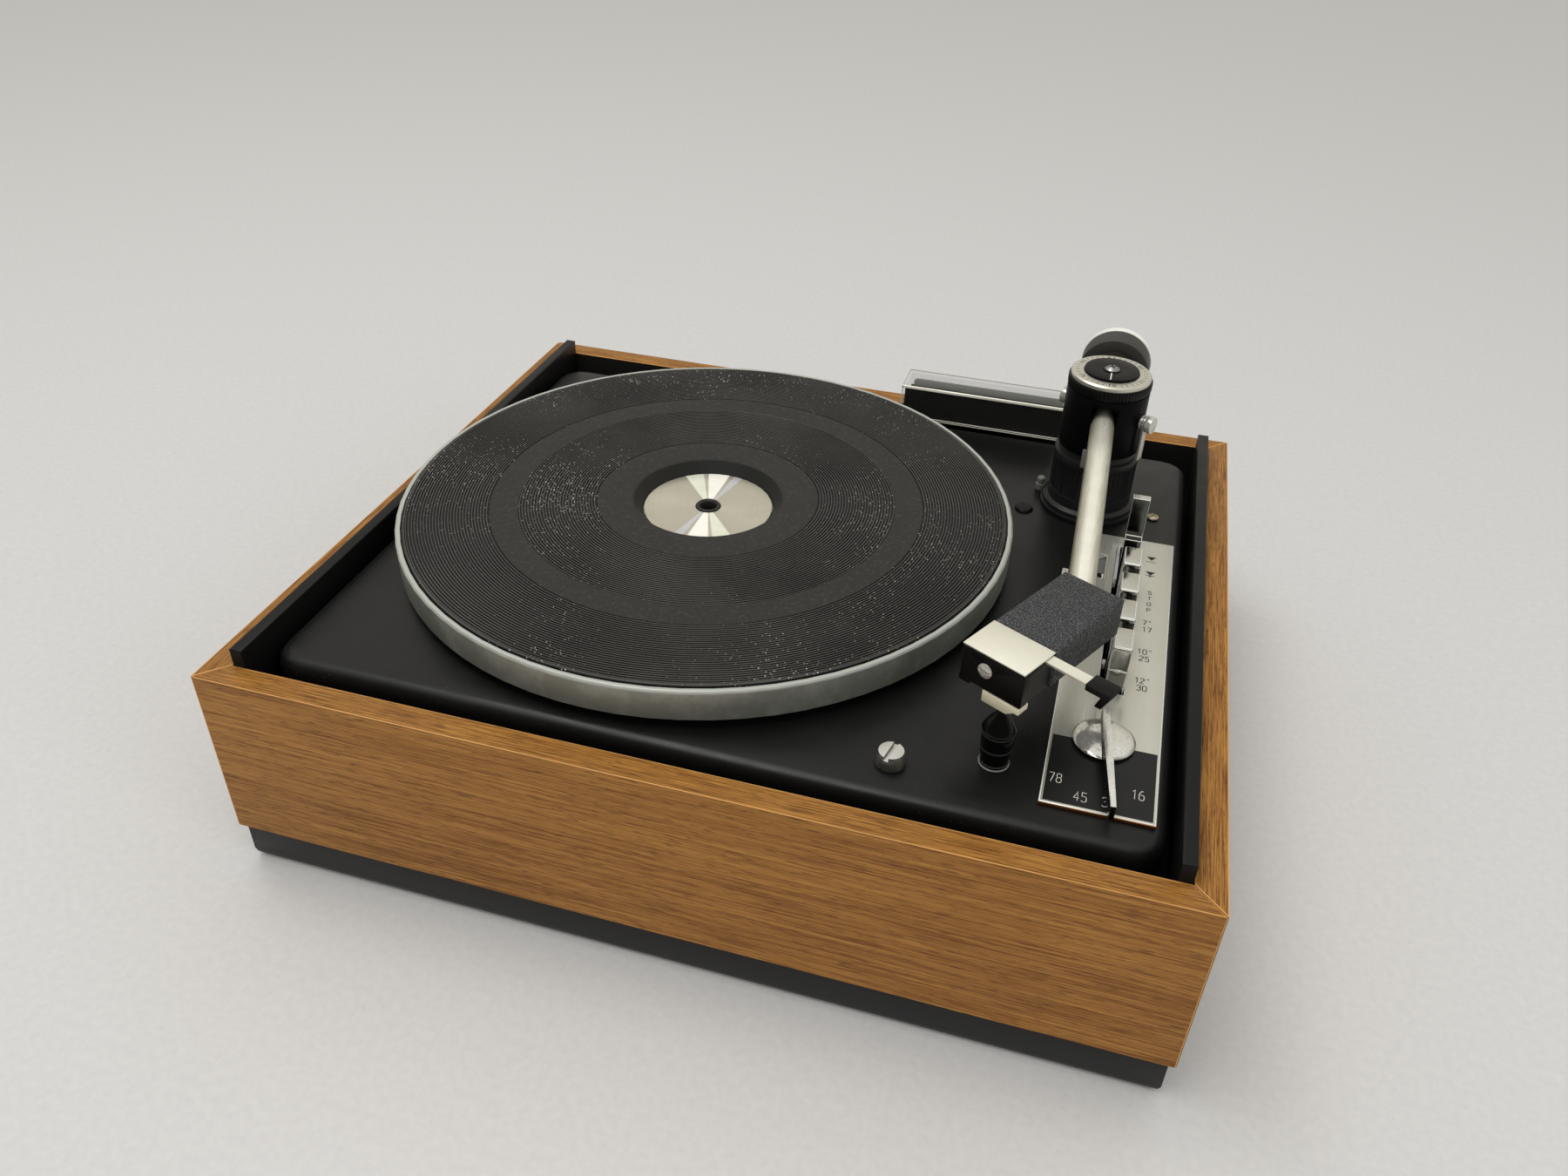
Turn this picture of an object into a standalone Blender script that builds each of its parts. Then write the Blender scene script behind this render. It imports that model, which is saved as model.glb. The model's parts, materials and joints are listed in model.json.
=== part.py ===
# Record changer in a walnut plinth, built as separate pieces.
# Metres, +Z up, +X to the right, the front faces -Y.
# The origin is the middle of the footprint, at the height of the table.

import math

import bmesh
import bpy
from mathutils import Vector

# Clearances and shared values
FIT = 0.0003            # gap between two pieces that touch on the real object
RUNNING = 0.0003        # gap round a turning shaft
OVERRUN = 0.002         # how far a cutter runs past what it cuts
OVERLAP = 0.0004        # how far joined shapes reach into each other
MERGE = 0.00001         # points closer than this are one point
FLAT = math.radians(0.2)  # faces closer in direction than this are one face
ROUND_SHARE = 0.5       # the form of a rounded edge

# Platter, and the plinth's margins round it
PLATTER_RADIUS = 0.1495
LEFT_MARGIN = 0.0185
RIGHT_MARGIN = 0.1025
FRONT_MARGIN = 0.0275
BACK_MARGIN = 0.0345

# Plinth
PLINTH_TOP = 0.110
BOARD = 0.0118
BASE_HEIGHT = 0.022
BASE_INSET = 0.0024
BASE_WALL = 0.016
BASE_ROUND = 0.005
PANEL_THICKNESS = 0.004
PANEL_RAISE = 0.003
RAIL_WIDTH = 0.0058
RAIL_RISE = 0.0085
RAIL_DROP = 0.020
CLEAT_WIDTH = 0.020
CLEAT_HEIGHT = 0.012
SHELF_DROP = 0.026
SHELF_THICKNESS = 0.012
SHELF_WIDTH = 0.038
SHELF_GAP = 0.0008

# Chassis plate, and its gaps to the boards
CHASSIS_SIDE_GAP = 0.0092
CHASSIS_FRONT_GAP = 0.00825
CHASSIS_BACK_GAP = 0.01965
CHASSIS_SHEET = 0.0015
CHASSIS_SKIRT = 0.012
CHASSIS_CORNER = 0.0145
CHASSIS_EDGE = 0.0055

# Springs under the chassis
SPRING_SIDE_INSET = 0.0395
SPRING_END_INSET = 0.0525
SPRING_RADIUS = 0.0072
SPRING_WIRE = 0.0007
SPRING_TURNS = 4.5
SPRING_POINTS_PER_TURN = 8

# Platter and its bearing
PLATTER_RISE = 0.0195
PLATTER_HEIGHT = 0.0160
PLATTER_RIM = 0.0024
PLATTER_WALL = 0.0080
PLATTER_FLOOR_DROP = 0.0033
PLATTER_WEB = 0.0035
PLATTER_RECESS = 0.0382
PLATTER_RECESS_DROP = 0.0033
PLATTER_BOSS_WALL = 0.0048
PLATTER_BEVEL = 0.0008
PLATTER_FOOT_BEVEL = 0.0015
HUB_RADIUS = 0.0118
MAT_RISE = 0.0007
MAT_INSET = 0.0030
MAT_STEP_INSET = 0.0008
MAT_STEP_DROP = 0.0040
MAT_GROOVE_DEPTH = 0.0007
MAT_GROOVE_WIDTH = 0.0016
MAT_GROOVE_SHARES = (0.3686, 0.6758)
DISC_INSET = 0.0065
DISC_THICKNESS = 0.0011
BUSH_RADIUS = 0.0061
BUSH_RISE = 0.0009
BORE_RADIUS = 0.0041
BEARING_RADIUS = 0.0070
BEARING_TOP_DROP = 0.0072
BEARING_DEPTH = 0.0500
BRACKET_REACH = 0.046
BRACKET_WIDTH = 0.020
BRACKET_SHEET = 0.0025
BRACKET_DROP = 0.0155
BRACKET_FOOT = 0.014

# Pinion and control gear
MODULE = 0.00125
PINION_TEETH = 22
GEAR_TEETH = 88
TOOTH_ADDENDUM = 0.00100
TOOTH_DEDENDUM = 0.00145
TOOTH_TIP = 0.00080
TOOTH_ROOT = 0.00240
GEAR_DROP = 0.0090
GEAR_THICKNESS = 0.0040
PINION_OVERLAP = 0.0006
GEAR_HUB = 0.0080
GEAR_HUB_DEPTH = 0.0040
GEAR_STUD = 0.0030
GEAR_TRACK_RADIUS = 0.036
GEAR_TRACK_WIDTH = 0.0040
GEAR_TRACK_DEPTH = 0.0018
GEAR_HOLE_RADIUS = 0.0070
GEAR_HOLE_CIRCLE = 0.0215
GEAR_HOLES = 5

# Drive
IDLER_RADIUS = 0.0200
IDLER_DIRECTION = math.radians(135.0)
IDLER_TYRE = 0.0020
IDLER_HUB = 0.0060
IDLER_HUB_HEIGHT = 0.0036
IDLER_AXLE = 0.0015
IDLER_WEB = 0.0012
IDLER_RISE = 0.0045
IDLER_ARM_LENGTH = 0.0400
IDLER_ARM_WIDTH = 0.0100
IDLER_ARM_SHEET = 0.0030
IDLER_ARM_DROP = 0.0060
IDLER_ARM_DIRECTION = math.radians(122.0)
IDLER_SWING_HOLE = 0.0052
IDLER_SWING_SHIFT = 0.0013
PULLEY_DIRECTION = math.radians(-80.0)
PULLEY_RADII = (0.0075, 0.0043, 0.0032, 0.0016)
PULLEY_STEP = 0.0026
PULLEY_LIFT = 0.0015
PULLEY_SHAFT = 0.0015
PULLEY_SHAFT_DEPTH = 0.016
MOTOR_RADIUS = 0.0270
MOTOR_DROP = 0.0180
MOTOR_HEIGHT = 0.0320
MOTOR_CAP = 0.0200
MOTOR_CAP_HEIGHT = 0.0040
MOTOR_POST = 0.0030
MOTOR_POST_CIRCLE = 0.0235
MOTOR_POST_ANGLES = (math.radians(215.0), math.radians(325.0), math.radians(25.0))

# Tone arm tower, placed from the plinth's right and back faces
TOWER_SIDE_INSET = 0.0720
TOWER_BACK_INSET = 0.0950
FLANGE_RADIUS = 0.0244
FLANGE_HEIGHT = 0.0045
FLANGE_SLOPE = 0.0012
FLANGE_STEP = 0.0008
FLANGE_STEP_HEIGHT = 0.0021
TOWER_RADIUS = 0.0212
TOWER_HEIGHT = 0.0365
TOWER_NECK_STEP = 0.0018
TOWER_NECK_HEIGHT = 0.0036
TOWER_BAND_STEP = 0.0018
TOWER_BAND_RISE = 0.0115
TOWER_BAND_DROP = 0.0080
TOWER_RIB_CREST = 0.0002
TOWER_RIB_DEPTH = 0.0007
TOWER_RIBS = 48
TURRET_SHAFT = 0.0040
TURRET_SHAFT_DEPTH = 0.0140
TURRET_RADIUS = 0.0202
TURRET_HEIGHT = 0.0315
TURRET_SLOT_DROP = 0.0038
TURRET_SLOT_HEIGHT = 0.0180
TURRET_SEAT = 0.0070
TURRET_SEAT_RISE = 0.0040
DIAL_OVERHANG = 0.0002
DIAL_HEIGHT = 0.0076
DIAL_SILVER_INSET = 0.0012
DIAL_SILVER_HEIGHT = 0.0018
INDEX_RADIUS = 0.0133
INDEX_RISE = 0.0012
DIAL_SCREW_RADIUS = 0.0038
DIAL_SCREW_RISE = 0.0012
DIAL_SCREW_SHANK = 0.0016
DIAL_SCREW_LENGTH = 0.0075

# Control plate, keys and lever
PLATE_SIDE_INSET = 0.0263
PLATE_WIDTH = 0.0438
PLATE_FRONT_INSET = 0.0350
PLATE_TOWER_GAP = 0.0310
PLATE_THICKNESS = 0.0014
PLATE_EDGE = 0.0003
SLOT_SIDE_INSET = 0.0167
SLOT_WIDTH = 0.0107
SLOT_BACK_INSET = 0.0095
SLOT_FRONT_SHARE = 0.3665
WINDOW_GAP = 0.0041
WINDOW_WIDTH = 0.0040
WINDOW_BACK_INSET = 0.0100
WINDOW_LENGTH = 0.0220
KEY_WIDTH = 0.0080
KEY_LENGTH = 0.0150
KEY_FRONT_GAP = 0.0023
KEY_PITCH_SHARE = 0.18601
KEY_RISE = 0.0240
KEY_DEPTH = 0.0155
KEY_EDGE = 0.0005
KEY_DISH_RADIUS = 0.0080
KEY_DISH_DEPTH = 0.0012
KEY_DISH_SHARE = 0.55
KEY_NAMES = ("key_stop", "key_17", "key_25", "key_30")
KEY_STEPS = 3
FRAME_WALL = 0.0035
FRAME_DEPTH = 0.0200
LEVER_BACK_GAP = 0.0066
LEVER_RISE = 0.0350
LEVER_THICKNESS = 0.0040
LEVER_STEP_RISE = 0.0143
LEVER_STEP = 0.0042
LEVER_PIVOT_DEPTH = 0.0165
LEVER_EYE = 0.0045
LEVER_TRUNNION = 0.0020

# Speed knob
KNOB_SIDE_INSET = 0.0226
KNOB_FRONT_INSET = 0.0414
KNOB_RADIUS = 0.0125
KNOB_LIFT = 0.0006
KNOB_RIM = 0.0016
KNOB_DOME = 0.0012
KNOB_SHAFT = 0.0030
KNOB_SHAFT_DEPTH = 0.0120
KNOB_POINT = math.radians(-82.9)
FIN_TIP = 0.0458
FIN_TAIL = 0.0122
FIN_HEIGHT = 0.0072
FIN_WIDTH = 0.0034
FIN_TIP_WIDTH = 0.0021
FIN_TAIL_WIDTH = 0.0020
FIN_LIFT = 0.0010

# Small pieces on the chassis, placed from the plinth's faces
TRANSIT_SIDE_INSET = 0.1283
TRANSIT_FRONT_INSET = 0.0400
TRANSIT_FOOT = 0.0062
TRANSIT_HEAD = 0.0051
TRANSIT_HEIGHT = 0.0060
TRANSIT_SLOT = 0.0021
TRANSIT_SLOT_DEPTH = 0.0014
TRANSIT_SHANK = 0.0025
TRANSIT_DEPTH = 0.0115
PLUG_SIDE_INSET = 0.1029
PLUG_BACK_INSET = 0.1117
PLUG_RADIUS = 0.0049
PLUG_RISE = 0.0010
PLUG_STEM = 0.0034
PLUG_DEPTH = 0.0040
TRIM_SIDE_INSET = 0.0377
TRIM_BACK_INSET = 0.0997
TRIM_RADIUS = 0.0031
TRIM_RISE = 0.0016
TRIM_SHANK = 0.0016
TRIM_DEPTH = 0.0060

# Rest post, placed under the stylus holder
POST_ACROSS = 0.0058
POST_BEHIND = 0.0022
POST_FOOT = 0.0058
POST_BODY = 0.0065
POST_BRIM = 0.0069
POST_CONE = 0.0046
POST_NECK = 0.0018
POST_TIP = 0.0012
POST_GROOVE = 0.0003
POST_STEM = 0.0020
POST_DEPTH = 0.0060
POST_RING_SHARE = 0.06
POST_LOW_SHARE = 0.33
POST_HIGH_SHARE = 0.59
POST_BRIM_SHARE = 0.65
POST_CONE_SHARE = 0.81
POST_NECK_SHARE = 0.94

# Spindle box, placed from the plinth's right and back faces
BOX_SIDE_INSET = 0.0915
BOX_LENGTH = 0.0950
BOX_BACK_INSET = 0.0073
BOX_DEPTH = 0.0236
BOX_HEIGHT = 0.0200
BOX_WALL = 0.0014
TRAY_GAP = 0.0004
TRAY_FRONT_GAP = 0.0036
TRAY_HEIGHT = 0.0115
TRAY_WALL = 0.0014
TRAY_FOOT_WIDTH = 0.0600
TRAY_FOOT_SHEET = 0.0030
TRAY_FOOT_DROP = 0.0140

# Arm
PIVOT_DROP = 0.0128
PIVOT_YAW = math.radians(-26.4)
TUBE_RADIUS = 0.0058
TUBE_WALL = 0.0010
TUBE_TAIL = 0.0100
PIVOT_HEAD = 0.0042
PIVOT_HEAD_LENGTH = 0.0032
PIVOT_SHANK = 0.0018
PIVOT_POINT = 0.0005
PIVOT_REACH = 0.0072
STUB_RADIUS = 0.0038
STUB_YAW = math.radians(3.8)
STUB_PLUG = 0.0080
STUB_END = 0.0540
STUB_COLLAR = 0.0052
STUB_COLLAR_LENGTH = 0.0060
STUB_COLLAR_GAP = 0.0008
WEIGHT_RADIUS = 0.0176
WEIGHT_FRONT = 0.0285
WEIGHT_LENGTH = 0.0165
WEIGHT_LIP = 0.0016
WEIGHT_DISH = 0.0125
WEIGHT_DISH_DEPTH = 0.0012
FORCE_SHEET = 0.0012
FORCE_WIDTH = 0.0042
FORCE_EYE = 0.0040
FORCE_LENGTH = 0.0200
FORCE_OFFSET = 0.0016

# Headshell and cartridge, measured in the head's own directions
HEAD_YAW = math.radians(-27.7)
HEAD_DROP = 0.0052
HEAD_SIDE_INSET = 0.0956
HEAD_FRONT_INSET = 0.0535
SOCKET_SHIFT = -0.00091
SOCKET_REACH = 0.06053
SOCKET_DROP = 0.0070
HEAD_WIDTH = 0.0284
HEAD_LENGTH = 0.0490
HEAD_HEIGHT = 0.0180
HEAD_EDGE = 0.0008
CARRIER_LENGTH = 0.0198
CARRIER_HEIGHT = 0.0158
CARRIER_WALL = 0.0014
CARRIER_STRIP = 0.0045
CARRIER_SIDE_DEPTH = 0.0007
CARRIER_SIDE_DROP = 0.0022
CARRIER_FOOT = 0.0050
CARRIER_FOOT_DROP = 0.0010
HEAD_PLATE = 0.0008
CARTRIDGE_HEIGHT = 0.0120
SCREW_HEAD = 0.0032
SCREW_RISE = 0.0012
SCREW_SLOT = 0.0007
SCREW_SLOT_DEPTH = 0.0006
SCREW_SHANK = 0.0011
SCREW_DROP = 0.0062
SCREW_SHIFT = -0.0026
HOLDER_LEFT = -0.0028
HOLDER_RIGHT = 0.0140
HOLDER_SHEET = 0.0026
HOLDER_DROP = 0.0052
HOLDER_RISE = 0.0024
HOLDER_RISE_START = 0.0086
HOLDER_RISE_END = 0.0120
HOLDER_WRAP = 0.0062
HOLDER_WRAP_SHEET = 0.0016
LIFT_SHEET = 0.0010
LIFT_WIDTH = 0.0052
LIFT_LENGTH = 0.0312
LIFT_BACK = 0.0190
LIFT_SEAT = 0.0060
GRIP_LENGTH = 0.0104
GRIP_WIDTH = 0.0080
GRIP_SHEET = 0.0028
GRIP_FLAP = 0.0050
GRIP_FLAP_SHEET = 0.0028
GRIP_LEAN = 0.0018

# Rear of the plinth, placed from its left face
GLAND_SIDE_INSET = 0.0600
GLAND_RISE = 0.0230
GLAND_RADIUS = 0.0075
GLAND_FLANGE = 0.0018
GLAND_STEM = 0.0055
GLAND_BORE = 0.0036
BRACE_SIDE_INSET = 0.1050
BRACE_WIDTH = 0.0500
BRACE_HEIGHT = 0.0140
BRACE_DEPTH = 0.0040
BRACE_DROP = 0.0040

# Facets of round shapes
ROUND_LARGE = 72
ROUND_MEDIUM = 32
ROUND_SMALL = 16
ROUND_TINY = 12

# The plinth's faces and the platter's middle
PLINTH_WIDTH = LEFT_MARGIN + 2 * PLATTER_RADIUS + RIGHT_MARGIN
PLINTH_DEPTH = FRONT_MARGIN + 2 * PLATTER_RADIUS + BACK_MARGIN
RIGHT = PLINTH_WIDTH / 2
LEFT = -RIGHT
BACK = PLINTH_DEPTH / 2
FRONT = -BACK
PLATTER_X = LEFT + LEFT_MARGIN + PLATTER_RADIUS
PLATTER_Y = FRONT + FRONT_MARGIN + PLATTER_RADIUS

# Chassis plate and what it stands on
CHASSIS_TOP = PLINTH_TOP
CHASSIS_UNDER = CHASSIS_TOP - CHASSIS_SHEET
ON_CHASSIS = CHASSIS_TOP + FIT
UNDER_CHASSIS = CHASSIS_UNDER - FIT
CHASSIS_WIDTH = PLINTH_WIDTH - 2 * (BOARD + CHASSIS_SIDE_GAP)
CHASSIS_FRONT = FRONT + BOARD + CHASSIS_FRONT_GAP
CHASSIS_BACK = BACK - BOARD - CHASSIS_BACK_GAP
CHASSIS_DEPTH = CHASSIS_BACK - CHASSIS_FRONT
CHASSIS_SHIFT_Y = (CHASSIS_BACK + CHASSIS_FRONT) / 2
SHELF_TOP = CHASSIS_TOP - SHELF_DROP
SHELF_BOTTOM = SHELF_TOP - SHELF_THICKNESS
SPRING_X = RIGHT - SPRING_SIDE_INSET
SPRING_Y = BACK - SPRING_END_INSET

# Platter, mat and bearing
PLATTER_TOP = CHASSIS_TOP + PLATTER_RISE
PLATTER_BOTTOM = PLATTER_TOP - PLATTER_HEIGHT
PLATTER_FLOOR = PLATTER_TOP - PLATTER_FLOOR_DROP
PLATTER_INSIDE = PLATTER_RADIUS - PLATTER_WALL
PLATTER_BOSS = PLATTER_RECESS + PLATTER_BOSS_WALL
MAT_TOP = PLATTER_TOP + MAT_RISE
MAT_RADIUS = PLATTER_RADIUS - MAT_INSET
MAT_STEP_RADIUS = PLATTER_RECESS - MAT_STEP_INSET
DISC_RADIUS = PLATTER_RECESS - DISC_INSET
BEARING_TOP = PLATTER_FLOOR - BEARING_TOP_DROP
BEARING_BOTTOM = CHASSIS_TOP - BEARING_DEPTH

# Gears and drive
PINION_PITCH = MODULE * PINION_TEETH / 2
GEAR_PITCH = MODULE * GEAR_TEETH / 2
GEAR_X = PLATTER_X + PINION_PITCH + GEAR_PITCH
GEAR_Y = PLATTER_Y
GEAR_BOTTOM = CHASSIS_TOP - GEAR_DROP
GEAR_HUB_BOTTOM = GEAR_BOTTOM - GEAR_HUB_DEPTH
IDLER_REACH = PLATTER_INSIDE - IDLER_RADIUS - RUNNING
IDLER_X = PLATTER_X + IDLER_REACH * math.cos(IDLER_DIRECTION)
IDLER_Y = PLATTER_Y + IDLER_REACH * math.sin(IDLER_DIRECTION)
IDLER_MIDDLE = PLATTER_BOTTOM + IDLER_RISE
IDLER_ARM_TOP = CHASSIS_TOP - IDLER_ARM_DROP
PULLEY_REACH = IDLER_RADIUS + PULLEY_RADII[2] + RUNNING
PULLEY_X = IDLER_X + PULLEY_REACH * math.cos(PULLEY_DIRECTION)
PULLEY_Y = IDLER_Y + PULLEY_REACH * math.sin(PULLEY_DIRECTION)
PULLEY_BOTTOM = CHASSIS_TOP + PULLEY_LIFT
ARM_PIVOT_X = IDLER_X + IDLER_ARM_LENGTH * math.cos(IDLER_ARM_DIRECTION)
ARM_PIVOT_Y = IDLER_Y + IDLER_ARM_LENGTH * math.sin(IDLER_ARM_DIRECTION)
MOTOR_TOP = CHASSIS_TOP - MOTOR_DROP
MOTOR_BOTTOM = MOTOR_TOP - MOTOR_HEIGHT

# Tower, turret and dial
TOWER_X = RIGHT - TOWER_SIDE_INSET
TOWER_Y = BACK - TOWER_BACK_INSET
TOWER_TOP = CHASSIS_TOP + TOWER_HEIGHT
TOWER_NECK = TOWER_RADIUS - TOWER_NECK_STEP
TOWER_NECK_BOTTOM = TOWER_TOP - TOWER_NECK_HEIGHT
TOWER_BAND_RADIUS = TOWER_RADIUS - TOWER_BAND_STEP
TOWER_BAND_BOTTOM = CHASSIS_TOP + TOWER_BAND_RISE
TOWER_BAND_TOP = TOWER_TOP - TOWER_BAND_DROP
TOWER_BORE = TURRET_SHAFT + RUNNING
TURRET_BOTTOM = TOWER_TOP + FIT
TURRET_TOP = TOWER_TOP + TURRET_HEIGHT
TURRET_SHAFT_BOTTOM = CHASSIS_TOP - TURRET_SHAFT_DEPTH
TURRET_SLOT_TOP = TURRET_TOP - TURRET_SLOT_DROP
TURRET_SLOT_BOTTOM = TURRET_SLOT_TOP - TURRET_SLOT_HEIGHT
DIAL_RADIUS = TURRET_RADIUS + DIAL_OVERHANG
DIAL_SILVER_RADIUS = DIAL_RADIUS - DIAL_SILVER_INSET
DIAL_TOP = TURRET_TOP + DIAL_HEIGHT
PIVOT_Z = TURRET_TOP - PIVOT_DROP

# Control plate, keys, lever and knob
PLATE_RIGHT = RIGHT - PLATE_SIDE_INSET
PLATE_LEFT = PLATE_RIGHT - PLATE_WIDTH
PLATE_FRONT = FRONT + PLATE_FRONT_INSET
PLATE_BACK = TOWER_Y - PLATE_TOWER_GAP
PLATE_BOTTOM = ON_CHASSIS
PLATE_TOP = PLATE_BOTTOM + PLATE_THICKNESS
SLOT_RIGHT = PLATE_RIGHT - SLOT_SIDE_INSET
SLOT_LEFT = SLOT_RIGHT - SLOT_WIDTH
SLOT_BACK = PLATE_BACK - SLOT_BACK_INSET
SLOT_FRONT = PLATE_FRONT + (PLATE_BACK - PLATE_FRONT) * SLOT_FRONT_SHARE
WINDOW_RIGHT = SLOT_LEFT - WINDOW_GAP
WINDOW_LEFT = WINDOW_RIGHT - WINDOW_WIDTH
WINDOW_BACK = SLOT_BACK - WINDOW_BACK_INSET
WINDOW_FRONT = WINDOW_BACK - WINDOW_LENGTH
KEY_X = (SLOT_RIGHT - RUNNING) - KEY_WIDTH / 2
KEY_PITCH = (SLOT_BACK - SLOT_FRONT) * KEY_PITCH_SHARE
KEY_LAST_Y = SLOT_FRONT + KEY_FRONT_GAP + KEY_LENGTH / 2
KEY_FIRST_Y = KEY_LAST_Y + KEY_STEPS * KEY_PITCH
KEY_TOP = CHASSIS_TOP + KEY_RISE
KEY_BOTTOM = CHASSIS_TOP - KEY_DEPTH
FRAME_BOTTOM = CHASSIS_UNDER - FRAME_DEPTH
LEVER_Y = SLOT_BACK - LEVER_BACK_GAP
LEVER_TOP = CHASSIS_TOP + LEVER_RISE
LEVER_STEP_TOP = CHASSIS_TOP + LEVER_STEP_RISE
LEVER_PIVOT_Z = CHASSIS_TOP - LEVER_PIVOT_DEPTH
KNOB_X = PLATE_RIGHT - KNOB_SIDE_INSET
KNOB_Y = PLATE_FRONT + KNOB_FRONT_INSET
KNOB_SHAFT_BOTTOM = CHASSIS_TOP - KNOB_SHAFT_DEPTH

# Small pieces on the chassis
TRANSIT_X = RIGHT - TRANSIT_SIDE_INSET
TRANSIT_Y = FRONT + TRANSIT_FRONT_INSET
TRANSIT_BOTTOM = CHASSIS_TOP - TRANSIT_DEPTH
PLUG_X = RIGHT - PLUG_SIDE_INSET
PLUG_Y = BACK - PLUG_BACK_INSET
PLUG_BOTTOM = CHASSIS_TOP - PLUG_DEPTH
TRIM_X = RIGHT - TRIM_SIDE_INSET
TRIM_Y = BACK - TRIM_BACK_INSET
TRIM_BOTTOM = CHASSIS_TOP - TRIM_DEPTH

# Spindle box and rear fittings
BOX_RIGHT = RIGHT - BOX_SIDE_INSET
BOX_LEFT = BOX_RIGHT - BOX_LENGTH
BOX_BACK = BACK - BOX_BACK_INSET
BOX_FRONT = BOX_BACK - BOX_DEPTH
GLAND_X = LEFT + GLAND_SIDE_INSET
GLAND_Z = BASE_HEIGHT + GLAND_RISE
BRACE_X = LEFT + BRACE_SIDE_INSET
BRACE_TOP = CHASSIS_TOP - BRACE_DROP

# Head, and the tube that runs from the pivot to it
HEAD_FRONT_X = RIGHT - HEAD_SIDE_INSET
HEAD_FRONT_Y = FRONT + HEAD_FRONT_INSET
HEAD_TOP = PIVOT_Z - HEAD_DROP


def from_head(across, behind):
    """A point on plan, measured in the head's directions from the middle of its front."""
    x = HEAD_FRONT_X + across * math.cos(HEAD_YAW) - behind * math.sin(HEAD_YAW)
    y = HEAD_FRONT_Y + across * math.sin(HEAD_YAW) + behind * math.cos(HEAD_YAW)
    return x, y


SOCKET_X, SOCKET_Y = from_head(SOCKET_SHIFT, SOCKET_REACH)
SOCKET_Z = HEAD_TOP - SOCKET_DROP
ARM_YAW = math.atan2(SOCKET_X - TOWER_X, TOWER_Y - SOCKET_Y)
ARM_RUN = math.hypot(SOCKET_X - TOWER_X, TOWER_Y - SOCKET_Y)
ARM_SLOPE = math.atan2(PIVOT_Z - SOCKET_Z, ARM_RUN)
TUBE_LENGTH = math.hypot(PIVOT_Z - SOCKET_Z, ARM_RUN)
POST_X, POST_Y = from_head(POST_ACROSS, POST_BEHIND)
CARRIER_BOTTOM = HEAD_TOP - HEAD_PLATE - CARRIER_HEIGHT
HOLDER_TOP = CARRIER_BOTTOM - FIT
HOLDER_BOTTOM = HOLDER_TOP - HOLDER_DROP
POST_BOTTOM = CHASSIS_TOP - POST_DEPTH

# The scene starts empty
for old in list(bpy.data.objects):
    bpy.data.objects.remove(old, do_unlink=True)
PARTS = bpy.data.collections.new("record_changer")
CUTTERS = bpy.data.collections.new("cutters")
bpy.context.scene.collection.children.link(PARTS)
bpy.context.scene.collection.children.link(CUTTERS)


# Materials
def make_material(name, colour, roughness, metallic=0.0):
    material = bpy.data.materials.new(name)
    material.use_nodes = True
    shader = material.node_tree.nodes["Principled BSDF"]
    shader.inputs["Base Color"].default_value = (*colour, 1.0)
    shader.inputs["Roughness"].default_value = roughness
    shader.inputs["Metallic"].default_value = metallic
    material.diffuse_color = (*colour, 1.0)
    return material


WALNUT = make_material("walnut", (0.36, 0.17, 0.06), 0.5)
BASE_BLACK = make_material("base_black", (0.02, 0.02, 0.022), 0.55)
PANEL_BROWN = make_material("panel_brown", (0.16, 0.09, 0.05), 0.8)
CHASSIS_BLACK = make_material("chassis_black", (0.022, 0.021, 0.02), 0.38)
SATIN_BLACK = make_material("satin_black", (0.025, 0.025, 0.026), 0.42)
PLASTIC_BLACK = make_material("plastic_black", (0.012, 0.012, 0.013), 0.3)
RUBBER = make_material("rubber", (0.03, 0.03, 0.03), 0.75)
ALUMINIUM = make_material("aluminium", (0.62, 0.63, 0.61), 0.35, 1.0)
BRUSHED = make_material("brushed", (0.66, 0.65, 0.60), 0.32, 1.0)
CHROME = make_material("chrome", (0.8, 0.8, 0.8), 0.08, 1.0)
STEEL = make_material("steel", (0.5, 0.5, 0.5), 0.35, 1.0)
CHAMPAGNE = make_material("champagne", (0.66, 0.62, 0.52), 0.36, 1.0)
CRACKLE = make_material("crackle", (0.05, 0.055, 0.065), 0.7)
IVORY = make_material("ivory", (0.62, 0.58, 0.46), 0.5)
CLEAR = make_material("clear", (0.85, 0.86, 0.85), 0.08)
BRASS = make_material("brass", (0.7, 0.52, 0.22), 0.3, 1.0)
ZINC = make_material("zinc", (0.45, 0.44, 0.42), 0.5, 1.0)


# Building helpers
def add(name, mesh, location=(0, 0, 0), finish=None, parent=None, rotation=(0, 0, 0)):
    """Puts a mesh into the scene as one named piece."""
    piece = bpy.data.objects.new(name, mesh)
    piece.location = location
    piece.rotation_euler = rotation
    if parent:
        piece.parent = parent
    if finish:
        mesh.materials.append(finish)
    PARTS.objects.link(piece)
    return piece


def axis_empty(name, location, rotation=(0, 0, 0), parent=None):
    """An empty that stands on a joint's axis and carries the pieces that move with it."""
    empty = bpy.data.objects.new(name, None)
    empty.location = location
    empty.rotation_euler = rotation
    empty.empty_display_size = FLANGE_RADIUS
    if parent:
        empty.parent = parent
    PARTS.objects.link(empty)
    return empty


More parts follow.
